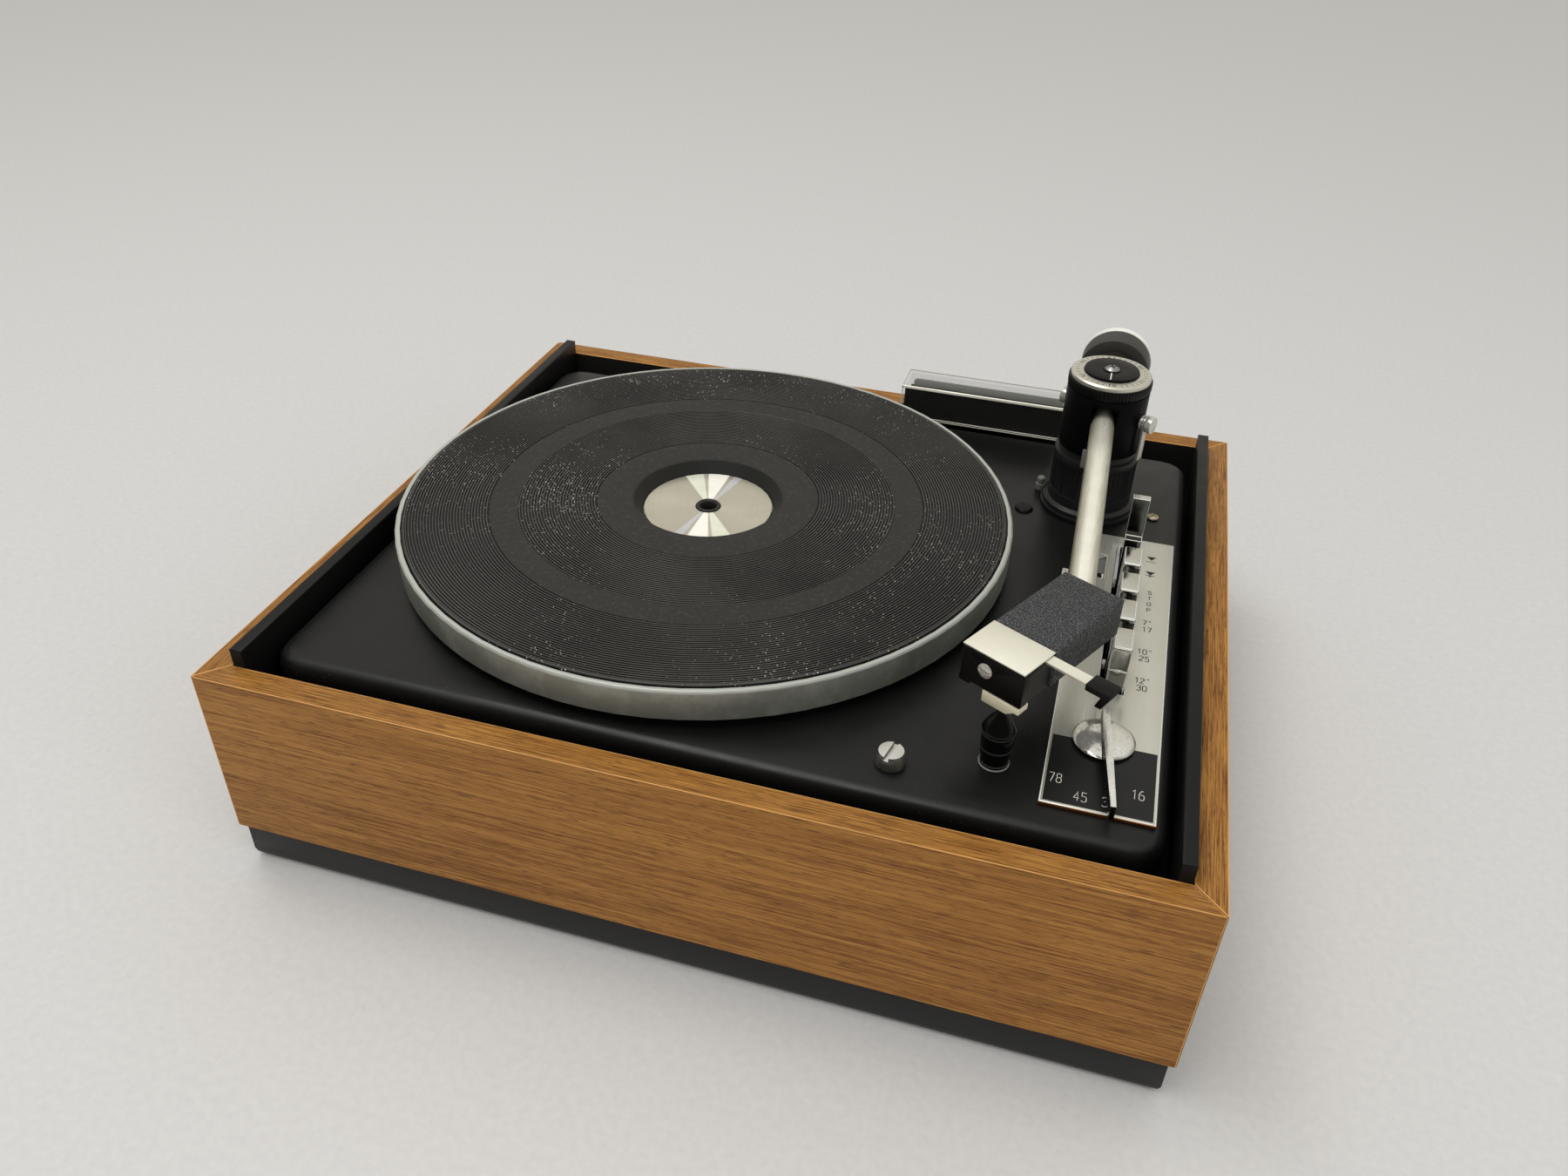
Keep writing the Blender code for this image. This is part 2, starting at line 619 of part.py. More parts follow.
def box(name, low, high, finish=None, parent=None, edge=0.0, segments=1):
    """A box between two corners, with its origin in its middle and optional rounded edges."""
    low = Vector(low)
    high = Vector(high)
    mesh = bpy.data.meshes.new(name)
    shape = bmesh.new()
    bmesh.ops.create_cube(shape, size=1.0)
    bmesh.ops.scale(shape, vec=high - low, verts=shape.verts)
    shape.to_mesh(mesh)
    shape.free()
    piece = add(name, mesh, (low + high) / 2, finish, parent)
    if edge:
        rounding = piece.modifiers.new("edges", "BEVEL")
        rounding.width = edge
        rounding.segments = segments
        rounding.limit_method = "ANGLE"
    return piece


def turned(name, profile, location, finish=None, parent=None, steps=ROUND_MEDIUM,
           rotation=(0, 0, 0), ring=False):
    """A turned piece; the profile runs down its outer side from the top to the bottom."""
    mesh = bpy.data.meshes.new(name)
    shape = bmesh.new()
    points = [shape.verts.new((radius, 0, height)) for radius, height in profile]
    for first, second in zip(points, points[1:]):
        shape.edges.new((first, second))
    if ring:
        shape.edges.new((points[-1], points[0]))
    shape.to_mesh(mesh)
    shape.free()
    piece = add(name, mesh, location, finish, parent, rotation)
    screw = piece.modifiers.new("turn", "SCREW")
    screw.steps = steps
    screw.render_steps = steps
    screw.use_merge_vertices = True
    screw.merge_threshold = MERGE
    screw.use_smooth_shade = True
    return piece


def rod(name, radius, bottom, top, location=(0, 0, 0), finish=None, parent=None,
        steps=ROUND_SMALL, rotation=(0, 0, 0)):
    """A plain round rod along its own Z."""
    profile = [(0, top), (radius, top), (radius, bottom), (0, bottom)]
    return turned(name, profile, location, finish, parent, steps, rotation)


def mesh_from_curve(curve_object, finish=None):
    """Turn a filled curve into a mesh piece with welded caps."""
    bpy.context.view_layer.update()
    graph = bpy.context.evaluated_depsgraph_get()
    mesh = bpy.data.meshes.new_from_object(curve_object.evaluated_get(graph))
    shape = bmesh.new()
    shape.from_mesh(mesh)
    bmesh.ops.remove_doubles(shape, verts=shape.verts, dist=MERGE)
    bmesh.ops.recalc_face_normals(shape, faces=shape.faces)
    bmesh.ops.dissolve_limit(shape, angle_limit=FLAT, verts=shape.verts, edges=shape.edges)
    shape.to_mesh(mesh)
    shape.free()
    name = curve_object.name
    matrix = curve_object.matrix_world.copy()
    curve = curve_object.data
    bpy.data.objects.remove(curve_object, do_unlink=True)
    bpy.data.curves.remove(curve)
    piece = add(name, mesh, finish=finish)
    piece.name = name
    piece.matrix_world = matrix
    return piece


PLANE_XY = (0, 0, 0)
PLANE_YZ = (math.pi / 2, 0, math.pi / 2)
PLANE_XZ = (math.pi / 2, 0, 0)


def outline(name, points, thickness, middle, finish=None, rotation=PLANE_XY):
    """A flat outline given thickness, centred on its middle, turned into a mesh."""
    curve = bpy.data.curves.new(name, "CURVE")
    curve.dimensions = "2D"
    curve.fill_mode = "BOTH"
    curve.extrude = thickness / 2
    spline = curve.splines.new("POLY")
    spline.points.add(len(points) - 1)
    for target, (across, along) in zip(spline.points, points):
        target.co = (across, along, 0, 1)
    spline.use_cyclic_u = True
    piece = bpy.data.objects.new(name, curve)
    piece.location = middle
    piece.rotation_euler = rotation
    PARTS.objects.link(piece)
    return mesh_from_curve(piece, finish)


def hang_on(piece, parent):
    """Parent a piece to an axis and keep it where it stands."""
    bpy.context.view_layer.update()
    matrix = piece.matrix_world.copy()
    piece.parent = parent
    piece.matrix_parent_inverse = parent.matrix_world.inverted()
    piece.matrix_world = matrix
    return piece


def stand_in(piece, frame):
    """Place a piece as it stands, but measured in a frame instead of the room."""
    bpy.context.view_layer.update()
    inside = piece.matrix_world.copy()
    piece.parent = frame
    piece.matrix_parent_inverse.identity()
    piece.matrix_world = frame.matrix_world @ inside
    return piece


def combine(piece, operation, tools):
    """Cut or join tools with a piece, and put the tools away as cutters."""
    for tool in tools:
        step = piece.modifiers.new(tool.name, "BOOLEAN")
        step.operation = operation
        step.solver = "EXACT"
        step.object = tool
        PARTS.objects.unlink(tool)
        CUTTERS.objects.link(tool)
        tool.hide_render = True
        tool.display_type = "WIRE"
    return piece


def cut(piece, *tools):
    return combine(piece, "DIFFERENCE", tools)


def join(piece, *tools):
    return combine(piece, "UNION", tools)


def on_circle(radius, angle):
    return radius * math.cos(angle), radius * math.sin(angle)


# Plinth
def mitred_board(name, length, height, thickness, middle, turn):
    """A board along its own X whose inner face, at its own +Y, is shorter by its thickness at both ends."""
    mesh = bpy.data.meshes.new(name)
    shape = bmesh.new()
    bmesh.ops.create_cube(shape, size=1.0)
    bmesh.ops.scale(shape, vec=(length, thickness, height), verts=shape.verts)
    for point in shape.verts:
        if point.co.y > 0:
            point.co.x -= math.copysign(thickness, point.co.x)
    shape.to_mesh(mesh)
    shape.free()
    return add(name, mesh, middle, WALNUT, rotation=(0, 0, turn))


def build_plinth():
    height = PLINTH_TOP - BASE_HEIGHT - FIT
    level = PLINTH_TOP - height / 2
    front_y = (PLINTH_DEPTH - BOARD) / 2
    side_x = (PLINTH_WIDTH - BOARD) / 2
    across = PLINTH_WIDTH - 2 * FIT
    along = PLINTH_DEPTH - 2 * FIT
    mitred_board("plinth_front", across, height, BOARD, (0, -front_y, level), 0)
    back = mitred_board("plinth_back", across, height, BOARD, (0, front_y, level), math.pi)
    cut(back, rod("gland_hole", GLAND_STEM + RUNNING, -BOARD, BOARD,
                  (GLAND_X, front_y, GLAND_Z), rotation=(math.pi / 2, 0, 0)))
    cleat_z = SHELF_BOTTOM - FIT
    cleat_half = PLINTH_DEPTH / 2 - BOARD - SHELF_GAP
    inner = PLINTH_WIDTH / 2 - BOARD
    for side, name, turn in ((-1, "plinth_left", -math.pi / 2), (1, "plinth_right", math.pi / 2)):
        board = mitred_board(name, along, height, BOARD, (side * side_x, 0, level), turn)
        near = side * (inner + OVERLAP)
        far = side * (inner - CLEAT_WIDTH)
        cleat = box(name + "_cleat", (min(near, far), -cleat_half, cleat_z - CLEAT_HEIGHT),
                    (max(near, far), cleat_half, cleat_z))
        join(board, cleat)


def build_base():
    half_x = PLINTH_WIDTH / 2 - BASE_INSET
    half_y = PLINTH_DEPTH / 2 - BASE_INSET
    base = box("plinth_base", (-half_x, -half_y, 0), (half_x, half_y, BASE_HEIGHT), BASE_BLACK)
    lower = [edge for edge in base.data.edges
             if all(base.data.vertices[index].co.z < 0 for index in edge.vertices)]
    weights = base.data.attributes.new("bevel_weight_edge", "FLOAT", "EDGE")
    for edge in lower:
        weights.data[edge.index].value = 1.0
    rounding = base.modifiers.new("lower_edge", "BEVEL")
    rounding.width = BASE_ROUND
    rounding.segments = 3
    rounding.limit_method = "WEIGHT"
    hollow = box("base_hollow", (-half_x + BASE_WALL, -half_y + BASE_WALL, -OVERRUN),
                 (half_x - BASE_WALL, half_y - BASE_WALL, BASE_HEIGHT + OVERRUN))
    ledge = box("base_ledge", (-half_x + BASE_WALL / 2, -half_y + BASE_WALL / 2, PANEL_RAISE),
                (half_x - BASE_WALL / 2, half_y - BASE_WALL / 2, PANEL_RAISE + PANEL_THICKNESS + 2 * FIT))
    cut(base, hollow, ledge)
    edge_x = half_x - BASE_WALL / 2 - FIT
    edge_y = half_y - BASE_WALL / 2 - FIT
    panel_low = PANEL_RAISE + FIT
    box("bottom_panel", (-edge_x, -edge_y, panel_low), (edge_x, edge_y, panel_low + PANEL_THICKNESS),
        PANEL_BROWN)


def build_rails():
    outer = PLINTH_WIDTH / 2 - BOARD - FIT
    half = PLINTH_DEPTH / 2 - BOARD - FIT
    top = PLINTH_TOP + RAIL_RISE
    bottom = PLINTH_TOP - RAIL_DROP
    for side, name in ((-1, "rail_left"), (1, "rail_right")):
        edges = sorted((side * outer, side * (outer - RAIL_WIDTH)))
        box(name, (edges[0], -half, bottom), (edges[1], half, top), SATIN_BLACK, edge=FIT)


def build_shelves():
    outer = PLINTH_WIDTH / 2 - BOARD - SHELF_GAP
    half = PLINTH_DEPTH / 2 - BOARD - SHELF_GAP
    for side, name in ((-1, "shelf_left"), (1, "shelf_right")):
        edges = sorted((side * outer, side * (outer - SHELF_WIDTH)))
        box(name, (edges[0], -half, SHELF_BOTTOM), (edges[1], half, SHELF_TOP), PANEL_BROWN)


def build_rear_fittings():
    inner = PLINTH_DEPTH / 2 - BOARD - FIT
    end = GLAND_FLANGE + BOARD
    profile = [(GLAND_STEM, end), (GLAND_STEM, GLAND_FLANGE), (GLAND_RADIUS, GLAND_FLANGE), (GLAND_RADIUS, 0),
               (GLAND_BORE, 0), (GLAND_BORE, end)]
    turned("cable_gland", profile, (GLAND_X, inner - GLAND_FLANGE, GLAND_Z), PLASTIC_BLACK,
           steps=ROUND_SMALL, rotation=(-math.pi / 2, 0, 0), ring=True)
    box("rear_bracket", (BRACE_X - BRACE_WIDTH / 2, inner - BRACE_DEPTH, BRACE_TOP - BRACE_HEIGHT),
        (BRACE_X + BRACE_WIDTH / 2, inner, BRACE_TOP), IVORY, edge=FIT)


# Springs
def spring_curve(name, x, y):
    """An unbroken coil whose first and last turns lie close."""
    bottom = SHELF_TOP + FIT + SPRING_WIRE
    top = UNDER_CHASSIS - SPRING_WIRE
    curve = bpy.data.curves.new(name, "CURVE")
    curve.dimensions = "3D"
    curve.bevel_depth = SPRING_WIRE
    curve.bevel_resolution = 1
    curve.use_fill_caps = True
    count = int(SPRING_TURNS * SPRING_POINTS_PER_TURN) + 1
    spline = curve.splines.new("POLY")
    spline.points.add(count - 1)
    places = []
    for index in range(count):
        share = index / (count - 1)
        angle = share * SPRING_TURNS * math.tau
        places.append((*on_circle(SPRING_RADIUS, angle), bottom + (top - bottom) * share))
        spline.points[index].co = (*places[-1], 1)
    pitch = (top - bottom) / SPRING_TURNS
    coil = bpy.data.objects.new(name, curve)
    coil.location = (x, y, 0)
    PARTS.objects.link(coil)
    piece = mesh_from_curve(coil, ZINC)
    return piece, pitch - 2 * SPRING_WIRE


def build_springs():
    for side_x, side_y, name in ((-1, -1, "spring_front_left"), (1, -1, "spring_front_right"),
                                 (-1, 1, "spring_back_left"), (1, 1, "spring_back_right")):
        piece, gap = spring_curve(name, side_x * SPRING_X, side_y * SPRING_Y)
        print(name, "least gap between turns", round(gap, 5))


# Chassis
def build_chassis():
    mesh = bpy.data.meshes.new("chassis_plate")
    shape = bmesh.new()
    bmesh.ops.create_cube(shape, size=1.0)
    bmesh.ops.scale(shape, vec=(CHASSIS_WIDTH, CHASSIS_DEPTH, CHASSIS_SKIRT), verts=shape.verts)
    upright = [edge for edge in shape.edges
               if abs(edge.verts[0].co.z - edge.verts[1].co.z) > CHASSIS_SKIRT / 2]
    bmesh.ops.bevel(shape, geom=upright, offset=CHASSIS_CORNER, segments=4, profile=ROUND_SHARE,
                    affect="EDGES")
    top_edges = [edge for edge in shape.edges if all(point.co.z > 0 for point in edge.verts)]
    bmesh.ops.bevel(shape, geom=top_edges, offset=CHASSIS_EDGE, segments=3, profile=ROUND_SHARE,
                    affect="EDGES")
    shape.normal_update()
    floor = [face for face in shape.faces if face.normal.z < 0 and len(face.verts) > 4]
    bmesh.ops.delete(shape, geom=floor, context="FACES")
    shape.to_mesh(mesh)
    shape.free()
    plate = add("chassis_plate", mesh, (0, CHASSIS_SHIFT_Y, CHASSIS_TOP - CHASSIS_SKIRT / 2), CHASSIS_BLACK)
    shell = plate.modifiers.new("sheet", "SOLIDIFY")
    shell.thickness = CHASSIS_SHEET
    shell.offset = -1
    holes = [
        ("hub_hole", PLATTER_X, PLATTER_Y, PINION_PITCH + TOOTH_ADDENDUM + OVERRUN, ROUND_MEDIUM),
        ("gear_hole", GEAR_X, GEAR_Y, GEAR_STUD + RUNNING, ROUND_TINY),
        ("pulley_hole", PULLEY_X, PULLEY_Y, PULLEY_SHAFT + 2 * RUNNING, ROUND_TINY),
        ("idler_hole", *idler_hole_middle(), IDLER_SWING_HOLE, ROUND_SMALL),
        ("idler_pivot_hole", ARM_PIVOT_X, ARM_PIVOT_Y, IDLER_AXLE + RUNNING, ROUND_TINY),
        ("knob_hole", KNOB_X, KNOB_Y, KNOB_SHAFT + RUNNING, ROUND_SMALL),
        ("transit_hole", TRANSIT_X, TRANSIT_Y, TRANSIT_SHANK + RUNNING, ROUND_TINY),
        ("plug_hole", PLUG_X, PLUG_Y, PLUG_STEM + FIT, ROUND_TINY),
        ("trim_hole", TRIM_X, TRIM_Y, TRIM_SHANK + FIT, ROUND_TINY),
        ("post_hole", POST_X, POST_Y, POST_STEM + FIT, ROUND_TINY),
        ("tower_hole", TOWER_X, TOWER_Y, TOWER_BORE, ROUND_SMALL),
    ]
    tools = [rod(name, radius, CHASSIS_UNDER - OVERRUN, CHASSIS_TOP + OVERRUN, (x, y, 0), steps=steps)
             for name, x, y, radius, steps in holes]
    tools.append(box("chassis_slot", (SLOT_LEFT, SLOT_FRONT, CHASSIS_UNDER - OVERRUN),
                     (SLOT_RIGHT, SLOT_BACK, CHASSIS_TOP + OVERRUN)))
    cut(plate, *tools)


def idler_hole_middle():
    """The idler's axle swings through this hole, square to its arm."""
    across = IDLER_ARM_DIRECTION - math.pi / 2
    shift = on_circle(IDLER_SWING_SHIFT, across)
    return IDLER_X + shift[0], IDLER_Y + shift[1]


def build_control_plate():
    plate = box("control_plate", (PLATE_LEFT, PLATE_FRONT, PLATE_BOTTOM),
                (PLATE_RIGHT, PLATE_BACK, PLATE_TOP), BRUSHED, edge=PLATE_EDGE)
    low = PLATE_BOTTOM - OVERRUN
    high = PLATE_TOP + OVERRUN
    cut(plate,
        box("plate_slot", (SLOT_LEFT, SLOT_FRONT, low), (SLOT_RIGHT, SLOT_BACK, high)),
        box("plate_window", (WINDOW_LEFT, WINDOW_FRONT, low), (WINDOW_RIGHT, WINDOW_BACK, high)),
        rod("plate_knob_hole", KNOB_SHAFT + RUNNING, low, high, (KNOB_X, KNOB_Y, 0)))


def build_small_chassis_pieces():
    plug = [(0, ON_CHASSIS + PLUG_RISE), (PLUG_RADIUS - PLUG_RISE, ON_CHASSIS + PLUG_RISE),
            (PLUG_RADIUS, ON_CHASSIS), (PLUG_STEM, ON_CHASSIS), (PLUG_STEM, PLUG_BOTTOM), (0, PLUG_BOTTOM)]
    turned("hole_plug", plug, (PLUG_X, PLUG_Y, 0), RUBBER, steps=ROUND_SMALL)
    trim = [(0, ON_CHASSIS + TRIM_RISE), (TRIM_RADIUS / 2, ON_CHASSIS + TRIM_RISE),
            (TRIM_RADIUS, ON_CHASSIS + TRIM_RISE / 2), (TRIM_RADIUS, ON_CHASSIS), (TRIM_SHANK, ON_CHASSIS),
            (TRIM_SHANK, TRIM_BOTTOM), (0, TRIM_BOTTOM)]
    turned("trim_screw", trim, (TRIM_X, TRIM_Y, 0), STEEL, steps=ROUND_TINY)


def build_rest_post():
    """A turned post whose tip ends just below the stylus holder."""
    tip = HOLDER_BOTTOM - FIT
    rise = tip - ON_CHASSIS
    foot = ON_CHASSIS + rise * POST_RING_SHARE
    low = ON_CHASSIS + rise * POST_LOW_SHARE
    high = ON_CHASSIS + rise * POST_HIGH_SHARE
    groove = POST_GROOVE
    profile = [(0, tip), (POST_TIP, tip), (POST_NECK, ON_CHASSIS + rise * POST_NECK_SHARE),
               (POST_CONE, ON_CHASSIS + rise * POST_CONE_SHARE),
               (POST_BRIM, ON_CHASSIS + rise * POST_BRIM_SHARE), (POST_BODY, high + groove),
               (POST_BODY - groove, high), (POST_BODY, high - groove), (POST_BODY, low + groove),
               (POST_BODY - groove, low), (POST_BODY, low - groove), (POST_FOOT - groove, foot),
               (POST_FOOT, foot - groove), (POST_FOOT, ON_CHASSIS), (POST_STEM, ON_CHASSIS),
               (POST_STEM, POST_BOTTOM), (0, POST_BOTTOM)]
    turned("rest_post", profile, (POST_X, POST_Y, 0), PLASTIC_BLACK, steps=ROUND_SMALL)


def build_transit_screw():
    axis = axis_empty("transit_axis", (TRANSIT_X, TRANSIT_Y, 0))
    top = ON_CHASSIS + TRANSIT_HEIGHT
    shoulder = ON_CHASSIS + TRANSIT_HEIGHT / 2
    profile = [(0, top), (TRANSIT_HEAD, top), (TRANSIT_FOOT, shoulder), (TRANSIT_FOOT, ON_CHASSIS),
               (TRANSIT_SHANK, ON_CHASSIS), (TRANSIT_SHANK, TRANSIT_BOTTOM), (0, TRANSIT_BOTTOM)]
    screw = turned("transit_screw", profile, (0, 0, 0), CHROME, axis, steps=24)
    slot = box("transit_slot", (-TRANSIT_SLOT / 2, -TRANSIT_FOOT - OVERRUN, top - TRANSIT_SLOT_DEPTH),
               (TRANSIT_SLOT / 2, TRANSIT_FOOT + OVERRUN, top + OVERRUN), parent=axis)
    slot.rotation_euler = (0, 0, math.radians(-12.0))
    cut(screw, slot)


def build_spindle_box():
    low = ON_CHASSIS
    inset = BOX_WALL + TRAY_GAP
    left = BOX_LEFT + inset
    right = BOX_RIGHT - inset
    front = BOX_FRONT + BOX_WALL + TRAY_FRONT_GAP
    back = BOX_BACK - inset
    tray = box("spindle_tray", (left, front, low), (right, back, low + TRAY_HEIGHT), SATIN_BLACK)
    cut(tray, box("tray_hollow", (left + TRAY_WALL, front + TRAY_WALL, low + TRAY_WALL),
                  (right - TRAY_WALL, back - TRAY_WALL, low + TRAY_HEIGHT + OVERRUN)))
    middle = (BOX_LEFT + BOX_RIGHT) / 2
    board_face = BACK - BOARD - FIT
    foot_half = TRAY_FOOT_WIDTH / 2
    join(tray, box("tray_foot", (middle - foot_half, board_face - TRAY_FOOT_SHEET, low - TRAY_FOOT_DROP),
                   (middle + foot_half, board_face, low + TRAY_WALL / 2)))
    axis = axis_empty("cover_axis", (0, BOX_BACK, low))
    cover = box("spindle_cover", (BOX_LEFT, -BOX_DEPTH, 0), (BOX_RIGHT, 0, BOX_HEIGHT), CLEAR, axis)
    cut(cover, box("cover_hollow", (BOX_LEFT + BOX_WALL, BOX_WALL - BOX_DEPTH, -OVERRUN),
                   (BOX_RIGHT - BOX_WALL, -BOX_WALL, BOX_HEIGHT - BOX_WALL), parent=axis))


# Bearing and platter
def build_bearing():
    """A bracket below the chassis that holds the hollow bearing tube."""
    foot_top = UNDER_CHASSIS
    floor = foot_top - BRACKET_DROP
    reach = BRACKET_REACH
    sheet = BRACKET_SHEET
    half = [(0, floor - sheet), (reach, floor - sheet), (reach, foot_top - sheet),
            (reach + BRACKET_FOOT, foot_top - sheet), (reach + BRACKET_FOOT, foot_top),
            (reach - sheet, foot_top), (reach - sheet, floor), (0, floor)]
    other = [(-across, height) for across, height in reversed(half[1:-1])]
    points = half[1:-1] + other
    bracket = outline("main_bearing", points, BRACKET_WIDTH, (PLATTER_X, PLATTER_Y, 0), STEEL, PLANE_YZ)
    join(bracket, rod("bearing_tube", BEARING_RADIUS, BEARING_BOTTOM, BEARING_TOP, (PLATTER_X, PLATTER_Y, 0),
                      steps=24))
    cut(bracket, rod("bearing_bore", BORE_RADIUS, BEARING_BOTTOM - OVERRUN, BEARING_TOP + OVERRUN,
                     (PLATTER_X, PLATTER_Y, 0)))


def tooth_outline(teeth, first):
    """The outline of a toothed wheel; a tooth's middle lies at the angle first."""
    pitch = MODULE * teeth / 2
    root = pitch - TOOTH_DEDENDUM
    tip = pitch + TOOTH_ADDENDUM
    points = []
    for index in range(teeth):
        middle = first + index * math.tau / teeth
        for radius, half in ((root, -TOOTH_ROOT / 2), (tip, -TOOTH_TIP / 2),
                             (tip, TOOTH_TIP / 2), (root, TOOTH_ROOT / 2)):
            points.append(on_circle(radius, middle + half / radius))
    return points


def build_platter():
    axis = axis_empty("platter_axis", (PLATTER_X, PLATTER_Y, 0))
    rim_inner = PLATTER_RADIUS - PLATTER_RIM
    bore = BEARING_RADIUS + RUNNING
    seat = BUSH_RADIUS + FIT
    under = PLATTER_FLOOR - PLATTER_WEB
    recess = PLATTER_FLOOR - PLATTER_RECESS_DROP
    boss = recess - PLATTER_WEB
    hub_bottom = GEAR_BOTTOM - PINION_OVERLAP
    bore_top = BEARING_TOP + RUNNING
    profile = [(rim_inner, PLATTER_TOP), (PLATTER_RADIUS - PLATTER_BEVEL, PLATTER_TOP),
               (PLATTER_RADIUS, PLATTER_TOP - PLATTER_BEVEL),
               (PLATTER_RADIUS, PLATTER_BOTTOM + PLATTER_FOOT_BEVEL),
               (PLATTER_RADIUS - PLATTER_FOOT_BEVEL, PLATTER_BOTTOM), (PLATTER_INSIDE, PLATTER_BOTTOM),
               (PLATTER_INSIDE, under), (PLATTER_BOSS, under), (PLATTER_BOSS, boss), (0, boss), (0, recess),
               (PLATTER_RECESS, recess), (PLATTER_RECESS, PLATTER_FLOOR), (rim_inner, PLATTER_FLOOR)]
    platter = turned("platter", profile, (0, 0, 0), ALUMINIUM, axis, ROUND_LARGE, ring=True)
    hub = rod("platter_hub", HUB_RADIUS, hub_bottom, boss + OVERLAP, parent=axis, steps=24)
    pinion = outline("pinion", tooth_outline(PINION_TEETH, 0), GEAR_THICKNESS + 2 * PINION_OVERLAP,
                     (PLATTER_X, PLATTER_Y, GEAR_BOTTOM + GEAR_THICKNESS / 2))
    hang_on(pinion, axis)
    join(platter, hub, pinion)
    cut(platter, rod("platter_bore", bore, hub_bottom - OVERRUN, bore_top, parent=axis),
        rod("bush_bore", seat, bore_top - OVERRUN, recess + OVERRUN, parent=axis))

    low = PLATTER_FLOOR + FIT
    recess_low = recess + FIT
    step = MAT_TOP - MAT_STEP_DROP
    hole = DISC_RADIUS + FIT
    mat = [(hole, step), (MAT_STEP_RADIUS, MAT_TOP)]
    for share in MAT_GROOVE_SHARES:
        groove = MAT_RADIUS * share
        mat += [(groove, MAT_TOP), (groove + MAT_GROOVE_WIDTH / 2, MAT_TOP - MAT_GROOVE_DEPTH),
                (groove + MAT_GROOVE_WIDTH, MAT_TOP)]
    mat += [(MAT_RADIUS - MAT_GROOVE_DEPTH, MAT_TOP), (MAT_RADIUS, MAT_TOP - MAT_GROOVE_DEPTH),
            (MAT_RADIUS, low),
            (PLATTER_RECESS - FIT, low), (PLATTER_RECESS - FIT, recess_low), (hole, recess_low)]
    turned("platter_mat", mat, (0, 0, 0), RUBBER, axis, 60, ring=True)
    low = recess_low
    disc_hole = BUSH_RADIUS + FIT
    disc = [(disc_hole, low + DISC_THICKNESS), (DISC_RADIUS, low + DISC_THICKNESS), (DISC_RADIUS, low),
            (disc_hole, low)]
    turned("centre_disc", disc, (0, 0, 0), ALUMINIUM, axis, 36, ring=True)
    bush_top = low + DISC_THICKNESS + BUSH_RISE
    bush_bottom = BEARING_TOP + 2 * RUNNING
    bush = [(BORE_RADIUS + BUSH_RISE, bush_top), (BUSH_RADIUS - BUSH_RISE / 2, bush_top),
            (BUSH_RADIUS, bush_top - BUSH_RISE / 2), (BUSH_RADIUS, bush_bottom), (BORE_RADIUS, bush_bottom),
            (BORE_RADIUS, bush_top - BUSH_RISE)]
    turned("spindle_bush", bush, (0, 0, 0), PLASTIC_BLACK, axis, 24, ring=True)


def build_gear():
    axis = axis_empty("gear_axis", (GEAR_X, GEAR_Y, 0))
    half_tooth = math.pi / GEAR_TEETH
    gear = outline("cam_gear", tooth_outline(GEAR_TEETH, math.pi + half_tooth), GEAR_THICKNESS,
                   (GEAR_X, GEAR_Y, GEAR_BOTTOM + GEAR_THICKNESS / 2), ZINC)
    hang_on(gear, axis)
    hub = [(0, CHASSIS_TOP), (GEAR_STUD, CHASSIS_TOP), (GEAR_STUD, UNDER_CHASSIS), (GEAR_HUB, UNDER_CHASSIS),
           (GEAR_HUB, GEAR_HUB_BOTTOM), (0, GEAR_HUB_BOTTOM)]
    join(gear, turned("gear_hub", hub, (0, 0, 0), parent=axis, steps=24))
    inner = GEAR_TRACK_RADIUS - GEAR_TRACK_WIDTH / 2
    outer = GEAR_TRACK_RADIUS + GEAR_TRACK_WIDTH / 2
    high = GEAR_BOTTOM + GEAR_TRACK_DEPTH
    low = GEAR_BOTTOM - OVERRUN
    track = turned("gear_track", [(inner, high), (outer, high), (outer, low), (inner, low)], (0, 0, 0),
                   parent=axis, steps=32, ring=True)
    tools = [track]
    for index in range(GEAR_HOLES):
        x, y = on_circle(GEAR_HOLE_CIRCLE, index * math.tau / GEAR_HOLES)
        tools.append(rod("gear_window", GEAR_HOLE_RADIUS, low, GEAR_BOTTOM + GEAR_THICKNESS + OVERRUN,
                         (x, y, 0), parent=axis, steps=ROUND_TINY))
    cut(gear, *tools)


# Drive
def stepped_pin(name, location, top, seat, bottom, parent):
    """A thin pin that stands on a collar of twice its radius."""
    profile = [(0, top), (IDLER_AXLE, top), (IDLER_AXLE, seat), (2 * IDLER_AXLE, seat),
               (2 * IDLER_AXLE, bottom), (0, bottom)]
    return turned(name, profile, location, parent=parent, steps=ROUND_TINY)


